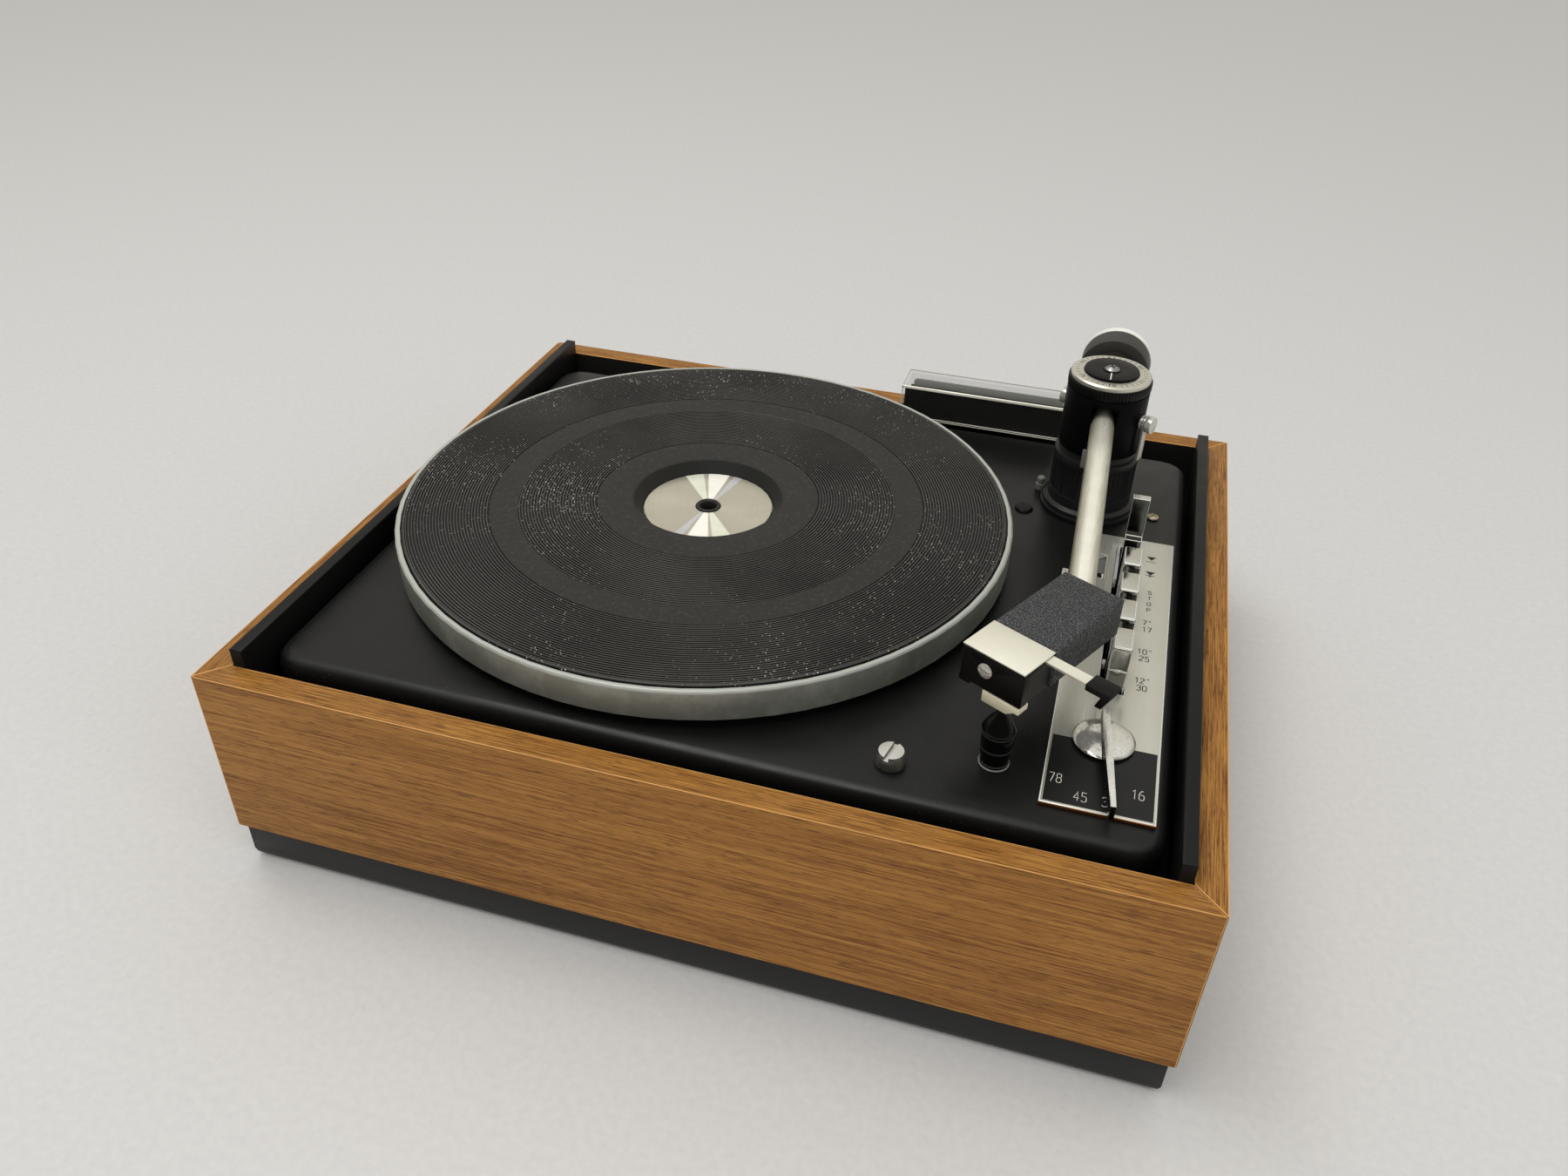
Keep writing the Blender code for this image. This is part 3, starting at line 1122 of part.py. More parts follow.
def build_drive():
    cap_top = MOTOR_TOP + MOTOR_CAP_HEIGHT
    cap_bottom = MOTOR_BOTTOM - MOTOR_CAP_HEIGHT
    motor = [(0, cap_top), (MOTOR_CAP, cap_top), (MOTOR_CAP, MOTOR_TOP), (MOTOR_RADIUS, MOTOR_TOP),
             (MOTOR_RADIUS, MOTOR_BOTTOM), (MOTOR_CAP, MOTOR_BOTTOM), (MOTOR_CAP, cap_bottom),
             (0, cap_bottom)]
    body = turned("motor", motor, (PULLEY_X, PULLEY_Y, 0), STEEL, steps=32)
    posts = []
    for angle in MOTOR_POST_ANGLES:
        x, y = on_circle(MOTOR_POST_CIRCLE, angle)
        posts.append(rod("motor_post", MOTOR_POST, MOTOR_TOP - OVERRUN, UNDER_CHASSIS,
                         (PULLEY_X + x, PULLEY_Y + y, 0), steps=ROUND_TINY))
    join(body, *posts)
    shaft_bottom = cap_top - PULLEY_SHAFT_DEPTH
    cut(body, rod("motor_bore", PULLEY_SHAFT + RUNNING, shaft_bottom - RUNNING, cap_top + OVERRUN,
                  (PULLEY_X, PULLEY_Y, 0), steps=ROUND_TINY))

    pulley_axis = axis_empty("pulley_axis", (PULLEY_X, PULLEY_Y, 0))
    top = PULLEY_BOTTOM + len(PULLEY_RADII) * PULLEY_STEP
    profile = [(0, top)]
    for index, radius in reversed(list(enumerate(PULLEY_RADII))):
        step_low = PULLEY_BOTTOM + index * PULLEY_STEP
        profile += [(radius, step_low + PULLEY_STEP), (radius, step_low)]
    profile += [(PULLEY_SHAFT, PULLEY_BOTTOM), (PULLEY_SHAFT, shaft_bottom), (0, shaft_bottom)]
    turned("motor_pulley", profile, (0, 0, 0), BRASS, pulley_axis, steps=24)

    swing = axis_empty("idler_arm_axis", (ARM_PIVOT_X, ARM_PIVOT_Y, 0))
    half = IDLER_ARM_WIDTH / 2
    ends = []
    for step in range(9):
        ends.append(on_circle(half, math.pi / 2 + step * math.pi / 8))
    for step in range(9):
        x, y = on_circle(half, -math.pi / 2 + step * math.pi / 8)
        ends.append((IDLER_ARM_LENGTH + x, y))
    bottom = IDLER_ARM_TOP - IDLER_ARM_SHEET
    back = IDLER_ARM_DIRECTION + math.pi
    level = (IDLER_ARM_TOP + bottom) / 2
    arm = outline("idler_arm", ends, IDLER_ARM_SHEET, (ARM_PIVOT_X, ARM_PIVOT_Y, level), STEEL, (0, 0, back))
    hang_on(arm, swing)
    axle_top = IDLER_MIDDLE + IDLER_HUB_HEIGHT / 2 + 2 * RUNNING
    axle_x = IDLER_X - ARM_PIVOT_X
    axle_y = IDLER_Y - ARM_PIVOT_Y
    inside = IDLER_ARM_TOP - IDLER_ARM_SHEET / 2
    axle_seat = IDLER_MIDDLE - IDLER_HUB_HEIGHT / 2 - RUNNING
    join(arm, stepped_pin("idler_axle", (axle_x, axle_y, 0), axle_top, axle_seat, inside, swing),
         stepped_pin("idler_pivot_pin", (0, 0, 0), CHASSIS_TOP, UNDER_CHASSIS, inside, swing))

    wheel_axis = axis_empty("idler_axis", (axle_x, axle_y, 0), parent=swing)
    bore = IDLER_AXLE + RUNNING
    tyre = IDLER_TYRE / 2
    web = IDLER_WEB / 2
    web_edge = IDLER_RADIUS - IDLER_TYRE * 2
    hub = IDLER_HUB_HEIGHT / 2
    middle = IDLER_MIDDLE
    profile = [(bore, middle + hub), (IDLER_HUB, middle + hub), (IDLER_HUB, middle + web),
               (web_edge, middle + web), (web_edge, middle + tyre), (IDLER_RADIUS, middle + tyre),
               (IDLER_RADIUS, middle - tyre), (web_edge, middle - tyre), (web_edge, middle - web),
               (IDLER_HUB, middle - web), (IDLER_HUB, middle - hub), (bore, middle - hub)]
    turned("idler_wheel", profile, (0, 0, 0), RUBBER, wheel_axis, steps=32, ring=True)


# Keys, lever and knob
def build_keys():
    for index, name in enumerate(KEY_NAMES):
        y = KEY_FIRST_Y - index * KEY_PITCH
        axis = axis_empty(name + "_axis", (KEY_X, y, KEY_TOP))
        key = box(name, (-KEY_WIDTH / 2, -KEY_LENGTH / 2, KEY_BOTTOM - KEY_TOP),
                  (KEY_WIDTH / 2, KEY_LENGTH / 2, 0), CHROME, axis, edge=KEY_EDGE)
        dish_x = KEY_DISH_RADIUS - KEY_DISH_DEPTH
        front = -KEY_LENGTH / 2
        dish_low = (PLATE_TOP - KEY_TOP) * KEY_DISH_SHARE
        dish = rod(name + "_dish", KEY_DISH_RADIUS, dish_low, -2 * KEY_EDGE - OVERRUN / 2,
                   (0, front - dish_x, 0), parent=axis, steps=24)
        cut(key, dish)


def build_key_frame():
    left = SLOT_LEFT - FRAME_WALL
    right = SLOT_RIGHT + FRAME_WALL
    frame = box("key_frame", (left, SLOT_FRONT - FRAME_WALL, FRAME_BOTTOM),
                (right, SLOT_BACK + FRAME_WALL, UNDER_CHASSIS), SATIN_BLACK)
    well = box("key_well", (SLOT_LEFT, SLOT_FRONT, FRAME_BOTTOM - OVERRUN),
               (SLOT_RIGHT, SLOT_BACK, UNDER_CHASSIS + OVERRUN))
    middle = (left + right) / 2
    half = (right - left) / 2 + OVERRUN
    bore = rod("trunnion_bore", LEVER_TRUNNION + RUNNING, -half, half, (middle, LEVER_Y, LEVER_PIVOT_Z),
               rotation=(0, math.pi / 2, 0), steps=ROUND_TINY)
    cut(frame, well, bore)


def build_lever():
    """The cueing lever: a stepped blade that tilts on two trunnions below the chassis."""
    axis = axis_empty("lever_axis", (KEY_X, LEVER_Y, LEVER_PIVOT_Z))
    back = LEVER_THICKNESS / 2
    step = -back - LEVER_STEP
    top = LEVER_TOP - LEVER_PIVOT_Z
    step_top = LEVER_STEP_TOP - LEVER_PIVOT_Z
    points = [(back, top), (-back, top), (-back, step_top), (step, step_top), (step, LEVER_EYE),
              (-LEVER_EYE, 0)]
    points += [on_circle(LEVER_EYE, math.pi + turn * math.pi / 6) for turn in range(1, 6)]
    points += [(LEVER_EYE, 0), (back, LEVER_EYE)]
    lever = outline("cue_lever", points, KEY_WIDTH, (KEY_X, LEVER_Y, LEVER_PIVOT_Z), CHROME, PLANE_YZ)
    hang_on(lever, axis)
    reach_left = SLOT_LEFT - FRAME_WALL - KEY_X
    reach_right = SLOT_RIGHT + FRAME_WALL - KEY_X
    join(lever, rod("trunnions", LEVER_TRUNNION, reach_left, reach_right, parent=axis,
                    rotation=(0, math.pi / 2, 0), steps=ROUND_TINY))


def build_knob():
    axis = axis_empty("knob_axis", (KNOB_X, KNOB_Y, 0))
    low = PLATE_TOP + KNOB_LIFT
    profile = [(0, low + KNOB_RIM + KNOB_DOME), (KNOB_RADIUS / 2, low + KNOB_RIM + KNOB_DOME),
               (KNOB_RADIUS - KNOB_DOME, low + KNOB_RIM), (KNOB_RADIUS, low + KNOB_RIM / 2),
               (KNOB_RADIUS, low), (KNOB_SHAFT, low), (KNOB_SHAFT, KNOB_SHAFT_BOTTOM), (0, KNOB_SHAFT_BOTTOM)]
    knob = turned("speed_knob", profile, (0, 0, 0), CHROME, axis, steps=36)
    bottom = low + FIN_LIFT
    points = [(-FIN_TAIL, FIN_TAIL_WIDTH / 2), (-FIN_TAIL, -FIN_TAIL_WIDTH / 2), (0, -FIN_WIDTH / 2),
              (FIN_TIP, -FIN_TIP_WIDTH / 2), (FIN_TIP, FIN_TIP_WIDTH / 2), (0, FIN_WIDTH / 2)]
    fin = outline("pointer_fin", points, FIN_HEIGHT, (KNOB_X, KNOB_Y, bottom + FIN_HEIGHT / 2), None,
                  (0, 0, KNOB_POINT))
    hang_on(fin, axis)
    join(knob, fin)


# Tower and turret
def build_tower():
    low = ON_CHASSIS
    slope_top = low + FLANGE_HEIGHT + FLANGE_SLOPE
    flange_top = low + FLANGE_HEIGHT
    step_top = low + FLANGE_STEP_HEIGHT
    upper_flange = FLANGE_RADIUS - FLANGE_STEP
    profile = [(TOWER_BORE, TOWER_TOP), (TOWER_NECK, TOWER_TOP), (TOWER_NECK, TOWER_NECK_BOTTOM),
               (TOWER_RADIUS, TOWER_NECK_BOTTOM), (TOWER_RADIUS, TOWER_BAND_TOP),
               (TOWER_BAND_RADIUS, TOWER_BAND_TOP), (TOWER_BAND_RADIUS, TOWER_BAND_BOTTOM),
               (TOWER_RADIUS, TOWER_BAND_BOTTOM), (TOWER_RADIUS, slope_top), (upper_flange, flange_top),
               (upper_flange, step_top), (FLANGE_RADIUS, step_top), (FLANGE_RADIUS, low), (TOWER_BORE, low)]
    tower = turned("tower_base", profile, (TOWER_X, TOWER_Y, 0), SATIN_BLACK, steps=ROUND_MEDIUM, ring=True)
    crest = TOWER_RADIUS - TOWER_RIB_CREST
    points = []
    for rib in range(TOWER_RIBS):
        angle = 2 * math.pi * rib / TOWER_RIBS
        points.append(on_circle(crest, angle))
        points.append(on_circle(crest - TOWER_RIB_DEPTH, angle + math.pi / TOWER_RIBS))
    height = TOWER_BAND_TOP - TOWER_BAND_BOTTOM + 2 * OVERRUN
    middle = (TOWER_BAND_TOP + TOWER_BAND_BOTTOM) / 2
    ribs = outline("tower_ribs", points, height, (TOWER_X, TOWER_Y, middle))
    core = rod("tower_core", TOWER_BORE, TOWER_BAND_BOTTOM - 2 * OVERRUN, TOWER_BAND_TOP + 2 * OVERRUN,
               (TOWER_X, TOWER_Y, 0), steps=ROUND_MEDIUM)
    cut(ribs, core)
    join(tower, ribs)


def build_turret(swing):
    """The turning top of the tower, with a slot for the arm, and what is fixed to it."""
    seat_top = TURRET_TOP + TURRET_SEAT_RISE
    profile = [(0, seat_top), (TURRET_SEAT, seat_top), (TURRET_SEAT, TURRET_TOP),
               (TURRET_RADIUS, TURRET_TOP), (TURRET_RADIUS, TURRET_BOTTOM), (TURRET_SHAFT, TURRET_BOTTOM),
               (TURRET_SHAFT, TURRET_SHAFT_BOTTOM), (0, TURRET_SHAFT_BOTTOM)]
    turret = turned("arm_turret", profile, (0, 0, 0), SATIN_BLACK, swing, steps=ROUND_MEDIUM)
    slot_half = TUBE_RADIUS + FIT
    reach = TURRET_RADIUS + OVERRUN
    slot = box("turret_slot", (-slot_half, -reach, TURRET_SLOT_BOTTOM), (slot_half, reach, TURRET_SLOT_TOP),
               parent=swing)
    pivot = axis_empty("pivot_frame", (0, 0, PIVOT_Z), (0, 0, PIVOT_YAW), swing)
    pin_hole = rod("pivot_hole", PIVOT_SHANK + RUNNING, -reach, reach, parent=pivot,
                   rotation=(0, math.pi / 2, 0), steps=ROUND_TINY)
    screw_hole = rod("dial_screw_hole", DIAL_SCREW_SHANK + FIT, seat_top - DIAL_SCREW_LENGTH - FIT,
                     seat_top + OVERRUN, parent=swing, steps=ROUND_TINY)
    cut(turret, slot, pin_hole, screw_hole)

    index_low = seat_top + FIT
    index_top = DIAL_TOP + INDEX_RISE
    index_hole = DIAL_SCREW_SHANK + FIT
    index = [(index_hole, index_top), (INDEX_RADIUS, index_top), (INDEX_RADIUS, index_low),
             (index_hole, index_low)]
    turned("dial_index", index, (0, 0, 0), SATIN_BLACK, swing, steps=ROUND_MEDIUM, ring=True)
    head_low = index_top + FIT
    screw = [(0, head_low + DIAL_SCREW_RISE), (DIAL_SCREW_RADIUS / 2, head_low + DIAL_SCREW_RISE),
             (DIAL_SCREW_RADIUS, head_low), (DIAL_SCREW_SHANK, head_low),
             (DIAL_SCREW_SHANK, seat_top - DIAL_SCREW_LENGTH), (0, seat_top - DIAL_SCREW_LENGTH)]
    turned("dial_screw", screw, (0, 0, 0), STEEL, swing, steps=ROUND_SMALL)

    ring_axis = axis_empty("dial_axis", (0, 0, 0), parent=swing)
    ring_low = TURRET_TOP + RUNNING
    hole = TURRET_SEAT + RUNNING
    recess = index_low - RUNNING
    inner = INDEX_RADIUS + RUNNING
    step = DIAL_TOP - DIAL_SILVER_HEIGHT
    ring = [(inner, DIAL_TOP), (DIAL_SILVER_RADIUS, DIAL_TOP), (DIAL_SILVER_RADIUS, step),
            (DIAL_RADIUS, step), (DIAL_RADIUS, ring_low), (hole, ring_low), (hole, recess), (inner, recess)]
    turned("dial_ring", ring, (0, 0, 0), BRUSHED, ring_axis, steps=ROUND_MEDIUM, ring=True)

    seat = TURRET_RADIUS + FIT
    right_seat = seat + FORCE_OFFSET + FORCE_SHEET + FIT
    for side, name, start in ((-1, "pivot_screw_left", seat), (1, "pivot_screw_right", right_seat)):
        end = start + PIVOT_HEAD_LENGTH
        profile = [(0, end), (PIVOT_HEAD, end), (PIVOT_HEAD, start), (PIVOT_SHANK, start),
                   (PIVOT_SHANK, PIVOT_REACH + PIVOT_SHANK), (PIVOT_POINT, PIVOT_REACH), (0, PIVOT_REACH)]
        if side > 0:
            collar = seat + FORCE_OFFSET - FIT
            profile[4:4] = [(PIVOT_SHANK, collar), (2 * PIVOT_SHANK, collar), (2 * PIVOT_SHANK, seat),
                            (PIVOT_SHANK, seat)]
        turned(name, profile, (0, 0, 0), STEEL, pivot, steps=ROUND_SMALL, rotation=(0, side * math.pi / 2, 0))

    force_axis = axis_empty("force_axis", (seat + FORCE_OFFSET, 0, 0), parent=pivot)
    half = FORCE_WIDTH / 2
    points = [on_circle(FORCE_EYE, turn * math.pi / 8) for turn in range(9)]
    points += [(-half, -FORCE_EYE), (-half, -FORCE_LENGTH), (half, -FORCE_LENGTH), (half, -FORCE_EYE)]
    lever = outline("force_lever", points, FORCE_SHEET, (FORCE_SHEET / 2, 0, 0), STEEL, PLANE_YZ)
    stand_in(lever, force_axis)
    hole = rod("force_hole", PIVOT_SHANK + RUNNING, -FORCE_SHEET, 2 * FORCE_SHEET, parent=force_axis,
               rotation=(0, math.pi / 2, 0), steps=ROUND_TINY)
    cut(lever, hole)


# Arm
def build_arm(swing):
    """The arm's own frame: its Z points back along the tube."""
    pitch = axis_empty("arm_pitch_axis", (0, 0, PIVOT_Z), parent=swing)
    line = axis_empty("arm_line", (0, 0, 0), (ARM_SLOPE - math.pi / 2, 0, 0), parent=pitch)
    inner = TUBE_RADIUS - TUBE_WALL
    tube = [(inner, TUBE_TAIL), (TUBE_RADIUS, TUBE_TAIL), (TUBE_RADIUS, -TUBE_LENGTH), (inner, -TUBE_LENGTH)]
    turned("arm_tube", tube, (0, 0, 0), CHAMPAGNE, line, steps=32, ring=True)
    plug = rod("stub_plug", inner - FIT, TUBE_TAIL - STUB_PLUG, TUBE_TAIL + 2 * STUB_COLLAR_GAP, parent=line)
    bend = axis_empty("stub_line", (0, 0, TUBE_TAIL + STUB_COLLAR_GAP), (0, STUB_YAW, 0), line)
    stub = [(0, STUB_END), (STUB_RADIUS, STUB_END), (STUB_RADIUS, STUB_COLLAR_LENGTH),
            (STUB_COLLAR, STUB_COLLAR_LENGTH), (STUB_COLLAR, 0), (0, 0)]
    join(turned("weight_stub", stub, (0, 0, 0), STEEL, bend, steps=ROUND_SMALL), plug)
    weight_axis = axis_empty("weight_axis", (0, 0, 0), parent=bend)
    front = WEIGHT_FRONT
    end = front + WEIGHT_LENGTH
    bore = STUB_RADIUS + RUNNING
    weight = [(bore, end), (WEIGHT_RADIUS - WEIGHT_LIP, end), (WEIGHT_RADIUS, end - WEIGHT_LIP),
              (WEIGHT_RADIUS, front), (WEIGHT_DISH, front), (WEIGHT_DISH, front + WEIGHT_DISH_DEPTH),
              (bore, front + WEIGHT_DISH_DEPTH)]
    turned("counterweight", weight, (0, 0, 0), SATIN_BLACK, weight_axis, steps=ROUND_MEDIUM, ring=True)
    return pitch, line


def build_head(pitch, line):
    """The head turns inward from the arm; its frame has X across it and -Y ahead."""
    bpy.context.view_layer.update()
    head = axis_empty("head_frame", (HEAD_FRONT_X, HEAD_FRONT_Y, HEAD_TOP), (0, 0, HEAD_YAW))
    hang_on(head, pitch)
    slide = axis_empty("carrier_frame", (0, 0, 0), parent=head)
    half = HEAD_WIDTH / 2
    start = CARRIER_LENGTH + FIT
    shell = box("headshell", (-half, start, -HEAD_HEIGHT), (half, start + HEAD_LENGTH, 0), CRACKLE, head,
                HEAD_EDGE)
    socket = rod("tube_socket", TUBE_RADIUS + FIT, -TUBE_LENGTH - 2 * FIT, 0, parent=line, steps=ROUND_MEDIUM)
    cut(shell, socket)

    box("head_plate", (-half, 0, -HEAD_PLATE), (half, CARRIER_LENGTH, 0), BRUSHED, slide)
    top = -HEAD_PLATE - FIT
    bottom = CARRIER_BOTTOM - HEAD_TOP
    wall = CARRIER_WALL
    roof = bottom + CARTRIDGE_HEIGHT + FIT
    carrier = box("cartridge_carrier", (-half, 0, bottom), (half, CARRIER_LENGTH, top), PLASTIC_BLACK, slide,
                  HEAD_EDGE / 2)
    hollow = box("carrier_hollow", (-half + wall, 2 * wall, bottom - OVERRUN),
                 (half - wall, CARRIER_LENGTH - wall, roof), parent=slide)
    screw_z = top - SCREW_DROP
    screw_hole = rod("carrier_screw_hole", SCREW_SHANK + FIT, -2 * wall - OVERRUN, OVERRUN,
                     (SCREW_SHIFT, 0, screw_z), parent=slide, rotation=(math.pi / 2, 0, 0), steps=ROUND_TINY)
    lift_start = half - LIFT_SEAT
    lift_front = LIFT_BACK - LIFT_WIDTH - 2 * FIT
    lift_pocket = box("lift_pocket", (lift_start - FIT, lift_front, top - LIFT_SHEET - FIT),
                      (half + OVERRUN, LIFT_BACK, top + OVERRUN), parent=slide)
    side_recess = box("side_recess", (half - CARRIER_SIDE_DEPTH, CARRIER_STRIP, bottom - OVERRUN),
                      (half + OVERRUN, CARRIER_LENGTH + OVERRUN, top - CARRIER_SIDE_DROP), parent=slide)
    cut(carrier, hollow, screw_hole, lift_pocket, side_recess)
    foot = box("carrier_foot", (-half, 0, bottom - CARRIER_FOOT_DROP),
               (-half + CARRIER_FOOT, 2 * wall, bottom + OVERRUN), parent=slide)
    join(carrier, foot)
    gap = FIT
    box("cartridge", (-half + wall + gap, 2 * wall + gap, bottom),
        (half - wall - gap, CARRIER_LENGTH - wall - gap, roof - gap), IVORY, slide)
    profile = [(0, SCREW_RISE + gap), (SCREW_HEAD / 2, SCREW_RISE + gap), (SCREW_HEAD, SCREW_RISE / 2 + gap),
               (SCREW_HEAD, gap), (SCREW_SHANK, gap), (SCREW_SHANK, gap - 2 * wall), (0, gap - 2 * wall)]
    screw = turned("carrier_screw", profile, (SCREW_SHIFT, 0, screw_z), STEEL, slide, steps=ROUND_SMALL,
                   rotation=(math.pi / 2, 0, 0))
    slot_floor = SCREW_RISE + gap - SCREW_SLOT_DEPTH
    slot = box("carrier_screw_slot", (-SCREW_HEAD - OVERRUN, -SCREW_SLOT / 2, slot_floor),
               (SCREW_HEAD + OVERRUN, SCREW_SLOT / 2, SCREW_RISE + OVERRUN))
    slot.parent = screw
    cut(screw, slot)
    build_holder(slide)

    lift_frame = axis_empty("lift_frame", (lift_start, LIFT_BACK - LIFT_WIDTH / 2 - FIT, top), parent=slide)
    box("finger_lift", (0, -LIFT_WIDTH / 2, -LIFT_SHEET), (LIFT_LENGTH, LIFT_WIDTH / 2, 0), BRUSHED,
        lift_frame)
    build_grip(lift_frame)


def build_holder(slide):
    """The stylus holder under the carrier: a front sheet, cut away at its right end, that wraps the corner."""
    top = HOLDER_TOP - HEAD_TOP
    low = HOLDER_BOTTOM - HEAD_TOP
    raised = low + HOLDER_RISE
    points = [(HOLDER_LEFT, top), (HOLDER_LEFT, low), (HOLDER_RISE_START, low), (HOLDER_RISE_END, raised),
              (HOLDER_RIGHT, raised), (HOLDER_RIGHT, top)]
    holder = stand_in(outline("stylus_holder", points, HOLDER_SHEET, (0, HOLDER_SHEET / 2, 0), IVORY, PLANE_XZ),
                      slide)
    wrap = box("holder_wrap", (HOLDER_RIGHT - HOLDER_WRAP_SHEET, HOLDER_SHEET / 2, raised),
               (HOLDER_RIGHT, HOLDER_WRAP, top), parent=slide)
    join(holder, wrap)


def build_grip(lift_frame):
    """The moulded grip on the lift's outer end, with a flap turned down for the finger."""
    low = -(GRIP_SHEET + LIFT_SHEET) / 2
    top = low + GRIP_SHEET
    outer = LIFT_LENGTH + GRIP_FLAP_SHEET + FIT
    inner = outer - GRIP_LENGTH
    turn_down = outer - GRIP_FLAP_SHEET - GRIP_LEAN / 2
    points = [(inner, top), (inner, low), (turn_down, low), (turn_down - GRIP_LEAN, low - GRIP_FLAP),
              (turn_down - GRIP_LEAN + GRIP_FLAP_SHEET, low - GRIP_FLAP), (outer, low / 2), (outer, top)]
    grip = stand_in(outline("finger_grip", points, GRIP_WIDTH, (0, 0, 0), PLASTIC_BLACK, PLANE_XZ),
                    lift_frame)
    socket = box("grip_socket", (inner - OVERRUN, -LIFT_WIDTH / 2 - FIT, -LIFT_SHEET - FIT),
                 (LIFT_LENGTH + FIT, LIFT_WIDTH / 2 + FIT, FIT), parent=lift_frame)
    cut(grip, socket)


def build_tone_arm():
    swing = axis_empty("arm_swing_axis", (TOWER_X, TOWER_Y, 0), (0, 0, ARM_YAW))
    build_turret(swing)
    pitch, line = build_arm(swing)
    build_head(pitch, line)


build_plinth()
build_base()
build_rails()
build_shelves()
build_rear_fittings()
build_springs()
build_chassis()
build_control_plate()
build_small_chassis_pieces()
build_rest_post()
build_transit_screw()
build_spindle_box()
build_bearing()
build_platter()
build_gear()
build_drive()
build_keys()
build_key_frame()
build_lever()
build_knob()
build_tower()
build_tone_arm()
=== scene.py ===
"""A record changer dressed for a photograph: finishes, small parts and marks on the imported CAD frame."""
import json
import math

import bmesh
import bpy
from mathutils import Matrix, Vector


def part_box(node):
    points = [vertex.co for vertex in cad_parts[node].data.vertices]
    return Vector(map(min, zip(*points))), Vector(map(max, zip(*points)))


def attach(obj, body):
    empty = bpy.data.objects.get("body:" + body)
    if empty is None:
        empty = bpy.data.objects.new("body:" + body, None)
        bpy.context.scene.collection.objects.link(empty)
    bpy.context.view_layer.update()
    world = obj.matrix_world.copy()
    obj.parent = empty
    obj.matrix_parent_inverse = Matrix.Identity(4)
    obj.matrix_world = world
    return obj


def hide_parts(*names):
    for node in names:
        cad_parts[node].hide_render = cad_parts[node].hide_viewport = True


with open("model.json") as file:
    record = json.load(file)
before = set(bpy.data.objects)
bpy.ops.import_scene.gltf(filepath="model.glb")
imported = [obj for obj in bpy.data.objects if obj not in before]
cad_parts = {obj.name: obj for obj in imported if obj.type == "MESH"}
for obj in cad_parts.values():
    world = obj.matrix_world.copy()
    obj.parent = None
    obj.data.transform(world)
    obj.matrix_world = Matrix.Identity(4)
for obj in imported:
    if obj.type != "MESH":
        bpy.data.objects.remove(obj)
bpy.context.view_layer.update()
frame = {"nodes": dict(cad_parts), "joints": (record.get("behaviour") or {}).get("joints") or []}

MM = 0.001

# The photographer's camera
CAMERA_PLACE = Vector((0.13421, -0.49297, 0.44184))
CAMERA_YAW = math.radians(15.5215)
CAMERA_PITCH = math.radians(35.2106)
CAMERA_ROLL = math.radians(1.6715)
CAMERA_LENS = 28.06
CAMERA_SENSOR = 36
CAMERA_NEAR = 10 * MM

ahead = Vector((-math.sin(CAMERA_YAW) * math.cos(CAMERA_PITCH),
                math.cos(CAMERA_YAW) * math.cos(CAMERA_PITCH), -math.sin(CAMERA_PITCH)))
level = Vector((math.cos(CAMERA_YAW), math.sin(CAMERA_YAW), 0))
camera_up = level.cross(ahead)
camera_right = math.cos(CAMERA_ROLL) * level + math.sin(CAMERA_ROLL) * camera_up
camera_up = -math.sin(CAMERA_ROLL) * level + math.cos(CAMERA_ROLL) * camera_up
camera_data = bpy.data.cameras.new("camera")
camera_data.lens = CAMERA_LENS
camera_data.sensor_width = CAMERA_SENSOR
camera_data.clip_start = CAMERA_NEAR
camera = bpy.data.objects.new("camera", camera_data)
camera.matrix_world = (Matrix.Translation(CAMERA_PLACE)
                       @ Matrix((camera_right, camera_up, -ahead)).transposed().to_4x4())
bpy.context.scene.collection.objects.link(camera)
bpy.context.scene.camera = camera
bpy.context.scene.view_settings.view_transform = "Standard"


def tone(red, green, blue):
    """A colour as it looks on a screen, each channel 0 to 255, made linear by the sRGB curve."""
    linear = []
    for value in (red, green, blue):
        share = value / 255
        linear.append(share / 12.92 if share <= 0.04045 else ((share + 0.055) / 1.055) ** 2.4)
    return (*linear, 1)


# The materials by name
finishes = {}


